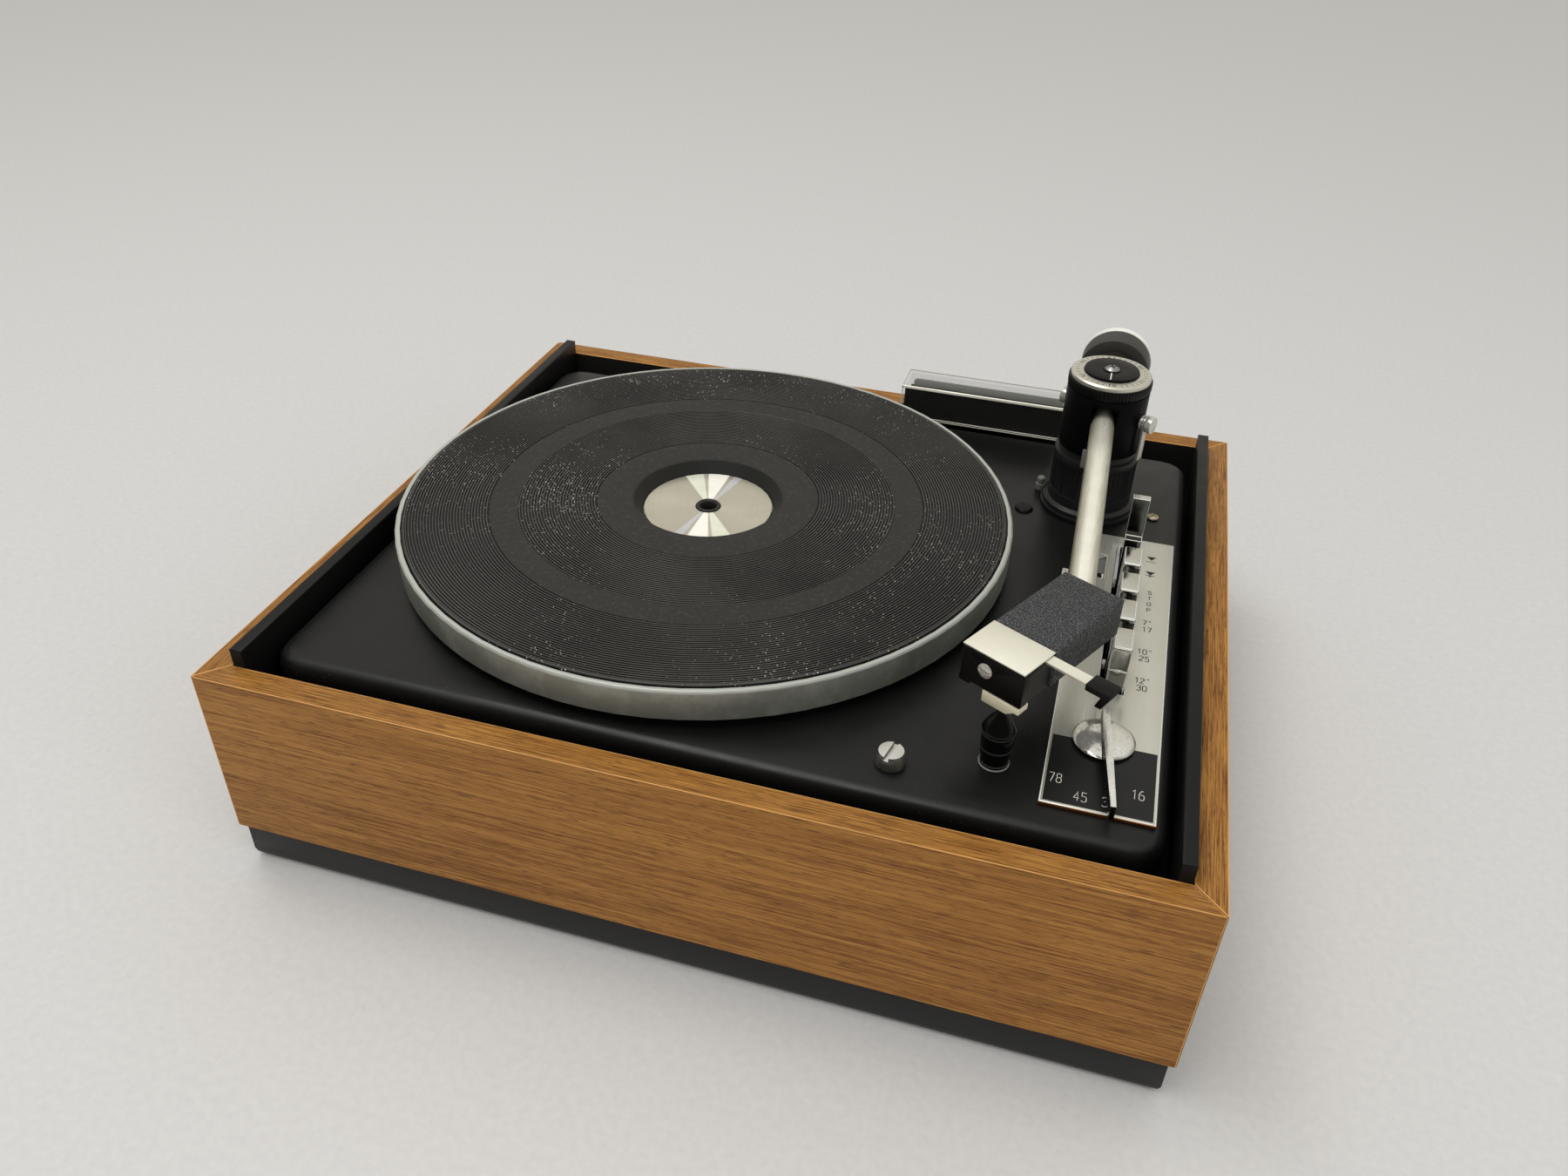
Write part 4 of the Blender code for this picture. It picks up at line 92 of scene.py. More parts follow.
class Finish:
    """A material whose nodes are added one after another; patterns are read from the object's own space, so
    their scales are cells per metre."""

    def __init__(self, name, **sockets):
        self.material = finishes[name] = bpy.data.materials.new(name)
        self.start(self.material, "Principled BSDF", "Object")
        self.set(**sockets)

    def start(self, owner, shader, space):
        owner.use_nodes = True
        self.tree = owner.node_tree
        self.shader = self.tree.nodes[shader]
        self.place = self.tree.nodes.new("ShaderNodeTexCoord")
        self.space = self.place.outputs[space]

    def feed(self, socket, value):
        if isinstance(value, bpy.types.NodeSocket):
            self.tree.links.new(value, socket)
        else:
            socket.default_value = value

    def set(self, **sockets):
        for key, value in sockets.items():
            self.feed(self.shader.inputs[key.replace("_", " ").title().replace("Ior", "IOR")], value)

    def node(self, kind, inputs=None, **settings):
        made = self.tree.nodes.new("ShaderNode" + kind)
        for key, value in settings.items():
            setattr(made, key, value)
        for key, value in (inputs or {}).items():
            self.feed(made.inputs[key], value)
        return made

    def stretched(self, x, y, z):
        """The object's space scaled along each axis."""
        return self.node("Mapping", {"Vector": self.space, "Scale": (x, y, z)}).outputs["Vector"]

    def noise(self, scale, detail, roughness=0.55, distortion=0, vector=None):
        return self.node("TexNoise", {"Vector": vector or self.space, "Scale": scale, "Detail": detail,
                                      "Roughness": roughness, "Distortion": distortion}).outputs["Fac"]

    def cells(self, scale):
        return self.node("TexVoronoi", {"Vector": self.space, "Scale": scale}).outputs["Distance"]

    def ramp(self, factor, *stops):
        made = self.node("ValToRGB", {"Fac": factor})
        band = made.color_ramp
        while len(band.elements) < len(stops):
            band.elements.new(0.5)
        for element, (position, colour) in zip(band.elements, stops):
            element.position = position
            element.color = colour
        return made.outputs["Color"]

    def span(self, factor, low, high, to_low=0, to_high=1):
        """The factor carried from one range to another, and held at its ends."""
        return self.node("MapRange", {"Value": factor, "From Min": low, "From Max": high, "To Min": to_low,
                                      "To Max": to_high}, clamp=True).outputs["Result"]

    def mix(self, factor, a, b):
        return self.node("Mix", {0: factor, 6: a, 7: b}, data_type="RGBA").outputs[2]

    def math(self, operation, *values):
        return self.node("Math", dict(enumerate(values)), operation=operation).outputs[0]

    def times(self, a, b):
        return self.math("MULTIPLY", a, b)

    def part(self, vector, axis):
        return self.node("SeparateXYZ", {"Vector": vector}).outputs["XYZ".index(axis)]

    def vector(self, operation, *values):
        return self.node("VectorMath", dict(enumerate(values)), operation=operation).outputs

    def facing(self, axis):
        """The part of the surface's direction along one axis."""
        return self.part(self.place.outputs["Normal"], axis)

    def bump(self, height, depth):
        """Small relief; depth is the real height of the pattern."""
        made = self.node("Bump", {"Height": height, "Distance": depth, "Strength": 1})
        self.feed(self.shader.inputs["Normal"], made.outputs["Normal"])


def shaded(colour, share):
    """A darker or lighter shade of a colour."""
    return tuple(min(1, channel * share) for channel in colour[:3]) + (1,)


# Finishes, each made under its name
def dusty(finish, colour, amount=0.5, scale=900, speck=(176, 172, 160)):
    """Adds scattered pale dust specks, thicker in some patches than in others; returns the new colour."""
    grains = finish.cells(scale)
    patches = finish.noise(26, 3, 0.6)
    reach = finish.span(patches, 0.42, 0.72, 0.02, 0.02 + 0.34 * amount)
    mask = finish.math("LESS_THAN", grains, reach)
    fine = finish.span(finish.noise(scale * 3, 2), 0.45, 0.75)
    return finish.mix(finish.times(mask, fine), colour, tone(*speck))


# The veneer's patterns: cells per metre along and across the grain
STREAKS = (22, 1300)
CLOUDS = (1.4, 46)
PORES = (120, 1500)
EDGE_STREAKS = (30, 1500)


def veneer(name, along, inward):
    """Walnut veneer with its grain along one axis: dark streaks, short pores, a finer, lighter top edge, and
    a blackened inner face. inward is the sign and the axis that the inner face looks along."""
    wood = Finish(name, specular_ior_level=0.22)

    def grain(cells, *settings):
        lengthwise, across = cells
        scales = (lengthwise, across, across) if along == "X" else (across, lengthwise, across)
        return wood.noise(1, *settings, vector=wood.stretched(*scales))

    streaks = grain(STREAKS, 5, 0.74)
    clouds = grain(CLOUDS, 4, 0.6, 0.25)
    figure = wood.math("ADD", wood.times(streaks, 0.8), wood.times(clouds, 0.2))
    face = wood.ramp(figure, (0.40, tone(122, 76, 30)), (0.47, tone(150, 101, 46)),
                     (0.54, tone(166, 116, 54)), (0.62, tone(182, 131, 64)))
    pores = wood.span(grain(PORES, 2, 0.5), 0.60, 0.65)
    face = wood.mix(wood.times(pores, 0.55), face, tone(84, 48, 20))
    edge = wood.ramp(grain(EDGE_STREAKS, 5, 0.76), (0.38, tone(100, 58, 22)),
                     (0.48, tone(140, 94, 41)), (0.60, tone(176, 125, 58)))
    edge = wood.mix(wood.times(pores, 0.5), edge, tone(84, 48, 16))
    colour = wood.mix(wood.span(wood.facing("Z"), 0.80, 0.95), face, edge)
    inner = wood.times(wood.facing(inward[-1]), -1.0 if inward[0] == "-" else 1.0)
    inner = wood.span(inner, 0.80, 0.95)
    rough = wood.math("ADD", wood.span(streaks, 0.3, 0.7, 0.52, 0.38), wood.times(inner, 0.3))
    wood.set(base_color=wood.mix(inner, colour, tone(18, 17, 16)), roughness=rough)
    wood.bump(wood.math("SUBTRACT", streaks, pores), 0.06 * MM)


def stained_base():
    wood = Finish("base_stain", specular_ior_level=0.4)
    fibres = wood.noise(1, 5, 0.65, vector=wood.stretched(24, 24, 1300))
    colour = wood.ramp(fibres, (0.35, tone(14, 14, 15)), (0.55, tone(26, 26, 28)), (0.72, tone(44, 43, 45)))
    wood.set(base_color=dusty(wood, colour, 0.12, 700), roughness=wood.span(fibres, 0.3, 0.7, 0.42, 0.6))
    wood.bump(fibres, 0.06 * MM)


def enamel(name, colour, rough, specks=0.2, peel=700, depth=0.01 * MM, shine=0.3, edge_sheen=None):
    """Sprayed paint or moulded plastic with slight orange peel, uneven gloss and dust; the colour given for
    its rounded upper edges paints a highlight there."""
    paint = Finish(name, specular_ior_level=shine)
    cloud = paint.noise(18, 4, 0.6)
    base = paint.mix(paint.span(cloud, 0.35, 0.7), colour, shaded(colour, 1.35))
    # Painted highlight: a band on the rounded upper edges, where they tilt away from the top, takes the
    # lighter edge colour.
    if edge_sheen:
        rise = paint.facing("Z")
        band = paint.times(paint.span(rise, 0.985, 0.93), paint.span(rise, 0.66, 0.84))
        base = paint.mix(band, base, edge_sheen)
    gloss = paint.noise(55, 4, 0.6)
    paint.set(base_color=dusty(paint, base, specks) if specks else base,
              roughness=paint.span(gloss, 0.3, 0.7, rough * 0.85, rough * 1.15))
    paint.bump(paint.noise(peel, 2), depth)


def crackle():
    """Blue-grey hammered paint: a dense field of small crinkles, lighter on their crests."""
    paint = Finish("headshell_crackle", specular_ior_level=0.4)
    crinkle = paint.noise(1700, 3, 0.7, 0.5)
    patch = paint.noise(130, 3, 0.6)
    colour = paint.ramp(crinkle, (0.38, tone(9, 10, 11)), (0.50, tone(34, 36, 38)),
                        (0.62, tone(108, 111, 112)))
    colour = paint.mix(paint.span(patch, 0.35, 0.7, 0, 0.35), colour, tone(34, 37, 40))
    paint.set(base_color=dusty(paint, colour, 0.10, 700), roughness=paint.span(crinkle, 0.3, 0.7, 0.75, 0.5))
    paint.bump(crinkle, 0.14 * MM)


def rubber():
    """Old black mat rubber: black in its grooves, greyed on its crests, with pale lint and dust."""
    skin = Finish("mat_rubber", specular_ior_level=0.35)
    cloud = skin.noise(14, 5, 0.6)
    worn = skin.ramp(cloud, (0.3, tone(50, 50, 49)), (0.7, tone(82, 81, 77)))
    crest = skin.span(skin.part(skin.space, "Z"), MAT_TOP - RIB_DEPTH * 0.75, MAT_TOP - RIB_DEPTH * 0.05)
    colour = skin.mix(crest, tone(5, 5, 5), worn)
    distance = skin.vector("DISTANCE", skin.space, (*PLATTER_CENTRE, MAT_TOP))["Value"]
    plain = skin.math("COMPARE", distance, MAT_PLAIN_RING, MAT_PLAIN_RING_HALF)
    inside = skin.math("LESS_THAN", distance, MAT_RIB_BANDS[0][0] - RIB_PITCH / 4)
    smooth = skin.math("MAXIMUM", plain, inside)
    colour = skin.mix(skin.times(smooth, 0.92), colour, tone(27, 27, 24))
    grains = skin.cells(560)
    patch = skin.noise(9, 4, 0.65)
    ribbed = skin.math("SUBTRACT", 1.0, skin.times(smooth, 0.8))
    reach = skin.times(skin.span(patch, 0.40, 0.68, 0.05, 0.32), ribbed)
    lint = skin.math("LESS_THAN", grains, reach)
    flecks = skin.span(skin.noise(1700, 2), 0.44, 0.56)
    lint = skin.times(skin.times(lint, flecks), 0.9)
    dust = skin.mix(lint, colour, tone(214, 211, 202))
    haze = skin.span(skin.noise(520, 5, 0.75), 0.52, 0.80, 0, 0.22)
    skin.set(base_color=skin.mix(skin.times(haze, crest), dust, tone(128, 125, 118)),
             roughness=skin.span(cloud, 0.3, 0.7, 0.50, 0.66))
    skin.bump(skin.noise(1600, 3), 0.03 * MM)


def around(finish, centre, frequency):
    """Fine rings round a vertical axis, as a tool leaves on turned metal, and the place from that axis."""
    moved = finish.vector("SUBTRACT", finish.space, (*centre, 0))["Vector"]
    radius = finish.vector("LENGTH", finish.vector("MULTIPLY", moved, (1, 1, 0))["Vector"])["Value"]
    line = finish.node("CombineXYZ", {"X": radius, "Y": finish.part(finish.space, "Z")})
    return finish.noise(frequency, 4, 0.6, vector=line.outputs["Vector"]), moved


def turned_metal(name, colour, rough, centre, frequency, highlight_streaks=0.0, metallic=1.0, lip=None):
    """Turned metal with fine rings, faint stains and, if wanted, painted lighter highlight streaks round it
    and a lip, which is a height and the colour above it."""
    metal = Finish(name, metallic=metallic)
    rings, moved = around(metal, centre, frequency)
    stains = metal.noise(35, 5, 0.65)
    base = metal.mix(metal.span(stains, 0.35, 0.75, 0, 0.6), colour, shaded(colour, 0.72))
    # Painted highlights: lighter streaks by the heading round the axis.
    if highlight_streaks:
        heading = metal.vector("NORMALIZE", moved)["Vector"]
        light = metal.span(metal.noise(9, 5, 0.7, vector=heading), 0.46, 0.66, 0, highlight_streaks)
        base = metal.mix(light, base, shaded(colour, 1.7))
    if lip:
        above = metal.span(metal.part(metal.space, "Z"), lip[0] - LIP_BLUR, lip[0] + LIP_BLUR)
        base = metal.mix(above, base, lip[1])
    metal.set(base_color=base, roughness=metal.span(rings, 0.3, 0.7, rough * 0.75, rough * 1.25))
    metal.bump(rings, 0.008 * MM)


def spun_disc():
    """The label-sized disc: spun aluminium with painted bright wedges and one thin darker line of reflected
    light, less metallic in the wedges, and a faint oily tint.
    """
    metal = Finish("disc_metal", metallic=1.0)
    rings, moved = around(metal, PLATTER_CENTRE, 9000)
    turn = metal.math("ARCTAN2", metal.part(moved, "Y"), metal.part(moved, "X"))
    base = tone(202, 197, 180)
    scatter = 0.35
    for heading, half_width, strength, colour in PAINTED_DISC_WEDGES:
        lag = metal.math("SUBTRACT", turn, math.radians(heading))
        away = metal.math("ABSOLUTE", metal.math("WRAP", lag, math.pi / 2, -math.pi / 2))
        painted_wedge = metal.span(away, math.radians(half_width), math.radians(half_width * 0.8), 0, strength)
        base = metal.mix(painted_wedge, base, colour)
        scatter = metal.math("MAXIMUM", scatter, painted_wedge)
    stains = metal.noise(60, 5, 0.65)
    base = metal.mix(metal.span(stains, 0.5, 0.8, 0, 0.25), base, tone(150, 146, 130))
    tangent = metal.node("Tangent", direction_type="RADIAL", axis="Z").outputs["Tangent"]
    metal.set(base_color=base, metallic=metal.span(scatter, 0, 1, 1.0, 0.15),
              roughness=metal.span(rings, 0.3, 0.7, 0.24, 0.36), tangent=tangent)
    metal.set(anisotropic=0.7)
    metal.bump(rings, 0.003 * MM)


def brushed(name, colour, rough, x, y, z, depth=0.006 * MM, stain=0.5, metallic=1.0, side_shade=None):
    """Metal brushed along one direction: x, y and z are the pattern's scales along the axes; the colour given
    for a round bar's two sides paints shade on them."""
    metal = Finish(name, metallic=metallic)
    lines = metal.noise(1, 4, 0.65, vector=metal.stretched(x, y, z))
    stains = metal.noise(48, 5, 0.65)
    base = metal.mix(metal.span(stains, 0.40, 0.75, 0, stain), colour, shaded(colour, 0.70))
    # Painted shade: the more a face looks sideways, the more it takes the darker side colour.
    if side_shade:
        sideways = metal.math("ABSOLUTE", metal.facing("X"))
        side_shade_mask = metal.math("ADD", sideways, metal.span(lines, 0.3, 0.7, -0.12, 0.12))
        base = metal.mix(metal.span(side_shade_mask, 0.25, 0.95), base, side_shade)
    metal.set(base_color=base, roughness=metal.span(lines, 0.3, 0.7, rough * 0.7, rough * 1.3))
    metal.bump(lines, depth)


def chrome(name, top, front, side, rough=0.06, pits=0.0, highlight_blobs=0.0, metallic=1.0):
    """Old plating: top is its colour seen from above; front and side are painted reflection colours, mostly
    darker, for its faces to the front and the sides; pits are corroded spots, and the blobs setting paints
    bright reflection patches on its sides."""
    metal = Finish(name)
    smears = metal.noise(110, 5, 0.65)
    base = metal.mix(metal.span(smears, 0.35, 0.7), top, shaded(top, 0.86))
    # Painted reflections: faces to the front take the front colour, and faces to the sides take the side
    # colour, patched with painted bright reflections.
    base = metal.mix(metal.span(metal.facing("Y"), -0.35, -0.85), base, front)
    painted_side_mask = metal.span(metal.math("ABSOLUTE", metal.facing("X")), 0.35, 0.85)
    shine = metal.span(metal.noise(210, 2, 0.5), 0.52, 0.62, 0, highlight_blobs)
    base = metal.mix(painted_side_mask, base, metal.mix(shine, side, top))
    worn = metal.span(metal.noise(1150, 4, 0.75), 0.58, 0.66)
    worn = metal.times(worn, pits)
    base = metal.mix(worn, base, tone(104, 98, 86))
    metal.set(base_color=base, metallic=metal.span(worn, 0, 1, metallic, 0.3),
              roughness=metal.math("ADD", worn, metal.span(smears, 0.35, 0.75, rough * 0.6, rough * 2.4)))
    metal.bump(metal.times(worn, -1), 0.02 * MM)


def clear_acrylic():
    """Clear moulded cover with faint scratches and a slightly uneven surface."""
    glass = Finish("clear_acrylic", alpha=0.07, specular_ior_level=1.0, base_color=(0.12, 0.12, 0.115, 1))
    scratches = glass.noise(1, 5, 0.7, vector=glass.stretched(30, 500, 500))
    glass.set(roughness=glass.span(scratches, 0.50, 0.75, 0.01, 0.10))
    glass.bump(glass.noise(60, 3), 0.01 * MM)


def print_ink(name, colour):
    """Screen-printed ink with slightly broken cover."""
    ink = Finish(name, specular_ior_level=0.3)
    wear = ink.noise(1500, 3, 0.6)
    ink.set(base_color=ink.mix(ink.span(wear, 0.4, 0.7), colour, shaded(colour, 1.3)),
            roughness=ink.span(wear, 0.3, 0.7, 0.4, 0.6))
    ink.bump(wear, 0.004 * MM)


# Where things are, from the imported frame
def middle(node):
    """The middle of a CAD node's box."""
    lo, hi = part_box(node)
    return (lo + hi) / 2


rim_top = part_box("platter")[1].z
mat_low, mat_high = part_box("platter_mat")
PLATTER_CENTRE = tuple(middle("platter"))[:2]
MAT_TOP = mat_high.z
MAT_RADIUS = (mat_high.x - mat_low.x) / 2
TOWER_CENTRE = tuple(middle("dial_index"))[:2]

# Painted reflections on the spun disc, bright wedges and one thin darker line: heading and half width in
# degrees, strength, colour
PAINTED_DISC_WEDGES = ((99, 11.5, 1.0, tone(252, 249, 240)), (122, 10, 0.85, tone(240, 243, 226)),
               (80, 5, 0.6, tone(212, 217, 230)), (111.5, 1.3, 0.8, tone(186, 182, 170)))

# The mat's hole, its two ribbed bands, as radii, and the plain ring between them
MAT_HOLE_TOP = 37.4 * MM
MAT_HOLE_FOOT = 32.2 * MM
MAT_HOLE_LIP = 1.0 * MM
MAT_RIB_BANDS = ((54.5 * MM, 92.0 * MM), (106.0 * MM, 144.8 * MM))
RIB_PITCH = 1.39 * MM
RIB_DEPTH = 0.55 * MM
MAT_PLAIN_RING = (MAT_RIB_BANDS[0][1] + MAT_RIB_BANDS[1][0]) / 2
MAT_PLAIN_RING_HALF = (MAT_RIB_BANDS[1][0] - MAT_RIB_BANDS[0][1]) / 2 - RIB_PITCH / 4

# The paler lip at the top of the platter's rim
RIM_LIP = 1.4 * MM
LIP_BLUR = 0.08 * MM

# Softened edges, how near points are joined, and the angles that are rounded and shaded smooth, in degrees
EDGE = 0.4 * MM
FINE_EDGE = 0.2 * MM
THIN_EDGE = 0.1 * MM
SMALL_EDGE = 0.3 * MM
BROAD_EDGE = 0.65 * MM
WELD = 0.01 * MM
JOIN = 0.001 * MM
ROUND_ABOVE = 40
SMOOTH_BELOW = 32

collection = bpy.data.collections.new("dressing")
bpy.context.scene.collection.children.link(collection)


def smooth_by_angle():
    """A node modifier that shades smooth below an angle and leaves every corner in place."""
    group = bpy.data.node_groups.new("smooth_by_angle", "GeometryNodeTree")
    group.interface.new_socket("Geometry", in_out="INPUT", socket_type="NodeSocketGeometry")
    group.interface.new_socket("Angle", in_out="INPUT", socket_type="NodeSocketFloat")
    group.interface.new_socket("Geometry", in_out="OUTPUT", socket_type="NodeSocketGeometry")
    nodes = group.nodes
    start, end = nodes.new("NodeGroupInput"), nodes.new("NodeGroupOutput")
    plain = nodes.new("GeometryNodeRemoveAttribute")
    plain.inputs["Name"].default_value = "custom_normal"
    faces, edges = nodes.new("GeometryNodeSetShadeSmooth"), nodes.new("GeometryNodeSetShadeSmooth")
    faces.domain, edges.domain = "FACE", "EDGE"
    angle = nodes.new("GeometryNodeInputMeshEdgeAngle")
    small = nodes.new("FunctionNodeCompare")
    small.data_type = "FLOAT"
    small.operation = "LESS_EQUAL"
    for source, output, target, socket in (
        (start, "Geometry", plain, "Geometry"), (plain, "Geometry", faces, "Geometry"),
        (faces, "Geometry", edges, "Geometry"), (edges, "Geometry", end, "Geometry"),
        (angle, "Unsigned Angle", small, 0), (start, "Angle", small, 1),
        (small, "Result", edges, "Shade Smooth"),
    ):
        group.links.new(source.outputs[output], target.inputs[socket])
    return group


SMOOTHING = smooth_by_angle()
ANGLE_INPUT = SMOOTHING.interface.items_tree["Angle"].identifier


def soften(piece, bevel=0.0, bright=None, smooth_below=SMOOTH_BELOW):
    """Joins split corners, rounds sharp edges by a small bevel and shades corners below an angle smooth;
    bright is a finish that paints a highlight on the rounded edges alone."""
    piece.modifiers.new("Weld", "WELD").merge_threshold = WELD
    if bevel:
        rounding = piece.modifiers.new("Bevel", "BEVEL")
        rounding.width = bevel
        rounding.segments = 2
        rounding.limit_method = "ANGLE"
        rounding.angle_limit = math.radians(ROUND_ABOVE)
        if bright:
            piece.data.materials.append(finishes[bright])
            rounding.material = 1
    smooth = piece.modifiers.new("Smooth", "NODES")
    smooth.node_group = SMOOTHING
    smooth[ANGLE_INPUT] = math.radians(smooth_below)


def dress(name, finish, bevel=0.0, bright=None, smooth_below=SMOOTH_BELOW):
    """Gives a CAD node a finish, by its name, and softened edges."""
    node = frame["nodes"][name]
    node.data.materials.clear()
    node.data.materials.append(finishes[finish])
    soften(node, bevel, bright, smooth_below)


def add_piece(name, mesh_source, finish, body, bevel=0.0, stands_for=()):
    """Turns a bmesh into an object that rides a body, in place of the CAD nodes that it stands for."""
    bmesh.ops.recalc_face_normals(mesh_source, faces=mesh_source.faces)
    mesh = bpy.data.meshes.new(name)
    mesh_source.to_mesh(mesh)
    mesh_source.free()
    mesh.materials.append(finishes[finish])
    piece = bpy.data.objects.new(name, mesh)
    collection.objects.link(piece)
    soften(piece, bevel)
    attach(piece, body)
    if stands_for:
        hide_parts(*stands_for)


def polar(centre, reach, turn):
    return centre[0] + reach * math.cos(turn), centre[1] + reach * math.sin(turn)


# The steps round a large ring, a small one and a small fitting
WHEEL_STEPS, RING_STEPS, FITTING_STEPS = 96, 64, 28


def lathed(profile, centre, steps=WHEEL_STEPS, radius_at=None):
    """A ring round a vertical axis from (radius, height) points; radius_at(radius, turn) may vary it."""
    shape = bmesh.new()
    rows = []
    for step in range(steps):
        turn = 2 * math.pi * step / steps
        row = []
        for radius, height in profile:
            reach = radius_at(radius, turn) if radius_at else radius
            row.append(shape.verts.new((*polar(centre, reach, turn), height)))
        rows.append(row)
    count = len(profile)
    for step in range(steps):
        here, there = rows[step], rows[(step + 1) % steps]
        for point in range(count):
            following = (point + 1) % count
            shape.faces.new((here[point], there[point], there[following], here[following]))
    bmesh.ops.remove_doubles(shape, verts=shape.verts, dist=JOIN)
    return shape


def section(points, foot=0.0):
    """A profile written in millimetres, on a foot."""
    return [(radius * MM, foot + height * MM) for radius, height in points]


def prism(outline, bottom, top, matrix=None):
    """A slab with a flat outline, from one height to another."""
    shape = bmesh.new()
    low = [shape.verts.new((x, y, bottom)) for x, y in outline]
    high = [shape.verts.new((x, y, top)) for x, y in outline]
    shape.faces.new(low[::-1])
    shape.faces.new(high)
    for index in range(len(outline)):
        after = (index + 1) % len(outline)
        shape.faces.new((low[index], low[after], high[after], high[index]))
    if matrix:
        shape.transform(matrix)
    return shape


# Stands a flat shape up, facing the front
UPRIGHT = Matrix.Rotation(math.pi / 2, 4, "X")
CORNER_STEPS = 6


def block(lo, hi, radius=0.0, corners=(True, True, True, True), matrix=None):
    """A box whose upright edges may be round, in order from the low left one."""
    outline = []
    centres = ((lo[0], lo[1], 1, 1), (hi[0], lo[1], -1, 1), (hi[0], hi[1], -1, -1), (lo[0], hi[1], 1, -1))
    for corner, (x, y, right, up) in enumerate(centres):
        if not (radius and corners[corner]):
            outline.append((x, y))
            continue
        for step in range(CORNER_STEPS + 1):
            turn = math.pi + math.pi / 2 * (corner + step / CORNER_STEPS)
            outline.append(polar((x + right * radius, y + up * radius), radius, turn))
    return prism(outline, lo[2], hi[2], matrix)


def merged(*shapes):
    """Several bmeshes as one."""
    whole = bmesh.new()
    for shape in shapes:
        mesh = bpy.data.meshes.new("join")
        shape.to_mesh(mesh)
        shape.free()
        whole.from_mesh(mesh)
        bpy.data.meshes.remove(mesh)
    return whole


# Keeps the sharp corners of a printed line from running far out
MITRE_SHARE = 0.5


def ribbon(points, width, height, matrix=None):
    """A flat printed line of one width along points."""
    shape = bmesh.new()
    path = [Vector((x, y)) for x, y in points]
    left, right = [], []
    for index, point in enumerate(path):
        into = (point - path[index - 1]).normalized() if index else None
        out = (path[index + 1] - point).normalized() if index < len(path) - 1 else None
        into = into or out
        out = out or into
        side = Vector((-into.y - out.y, into.x + out.x)).normalized()
        reach = width / 2 / max(MITRE_SHARE, side.dot(Vector((-into.y, into.x))))
        left.append(shape.verts.new((*(point + side * reach), height)))
        right.append(shape.verts.new((*(point - side * reach), height)))
    for index in range(len(path) - 1):
        shape.faces.new((right[index], right[index + 1], left[index + 1], left[index]))
    if matrix:
        shape.transform(matrix)
    return shape


# Letters and figures as strokes on a grid two units wide and four high
GRID_WIDE, GRID_HIGH = 2, 4
OVAL = [(0, 0.6), (0, 3.4), (0.5, 4), (1.5, 4), (2, 3.4), (2, 0.6), (1.5, 0), (0.5, 0), (0, 0.6)]
STROKES = {
    "0": [OVAL],
    "1": [[(0.5, 3.3), (1.3, 4), (1.3, 0)]],
    "2": [[(0, 3.4), (0.5, 4), (1.5, 4), (2, 3.4), (2, 2.6), (0, 0.5), (0, 0), (2, 0)]],
    "3": [[(0, 3.5), (0.5, 4), (1.5, 4), (2, 3.5), (2, 2.7), (1.5, 2.2), (0.8, 2.2)],
          [(1.5, 2.2), (2, 1.6), (2, 0.5), (1.5, 0), (0.5, 0), (0, 0.5)]],
    "4": [[(1.5, 0), (1.5, 4), (0, 1.2), (2.1, 1.2)]],
    "5": [[(2, 4), (0.2, 4), (0.2, 2.4), (1.5, 2.4), (2, 1.9), (2, 0.5), (1.5, 0), (0.5, 0), (0, 0.5)]],
    "6": [[(1.7, 4), (0.9, 4), (0, 2.6), (0, 0.6), (0.5, 0), (1.5, 0), (2, 0.6), (2, 1.8), (1.5, 2.3),
           (0.1, 2.3)]],
    "7": [[(0, 4), (2, 4), (0.8, 0)]],
    "8": [[(0.5, 2.2), (0.1, 2.7), (0.1, 3.5), (0.5, 4), (1.5, 4), (1.9, 3.5), (1.9, 2.7), (1.5, 2.2),
           (0.5, 2.2), (0, 1.6), (0, 0.5), (0.5, 0), (1.5, 0), (2, 0.5), (2, 1.6), (1.5, 2.2)]],
    "S": [[(2, 3.5), (1.5, 4), (0.5, 4), (0, 3.5), (0, 2.6), (0.5, 2.1), (1.5, 1.9), (2, 1.4), (2, 0.5),
           (1.5, 0), (0.5, 0), (0, 0.5)]],
    "T": [[(0, 4), (2, 4)], [(1, 4), (1, 0)]],
    "O": [OVAL],
    "P": [[(0, 0), (0, 4), (1.5, 4), (2, 3.5), (2, 2.4), (1.5, 1.9), (0, 1.9)]],
    "'": [[(0.6, 4.2), (0.6, 3.4)], [(1.3, 4.2), (1.3, 3.4)]],
}


def lettering(text, x, y, size, level, turn=0.0):
    """Figures centred on a point, drawn as flat strokes; size is their height, width and stroke."""
    height, width, stroke = size
    unit_x, unit_y = width / GRID_WIDE, height / GRID_HIGH
    pitch = 1.5 * width
    place = Matrix.Translation((x, y, 0)) @ Matrix.Rotation(turn, 4, "Z")
    shapes = []
    for index, sign in enumerate(text):
        offset = (index - (len(text) - 1) / 2) * pitch - width / 2
        for line in STROKES[sign]:
            points = [(offset + px * unit_x, (py - GRID_HIGH / 2) * unit_y) for px, py in line]
            shapes.append(ribbon(points, stroke, level, place))
    return shapes


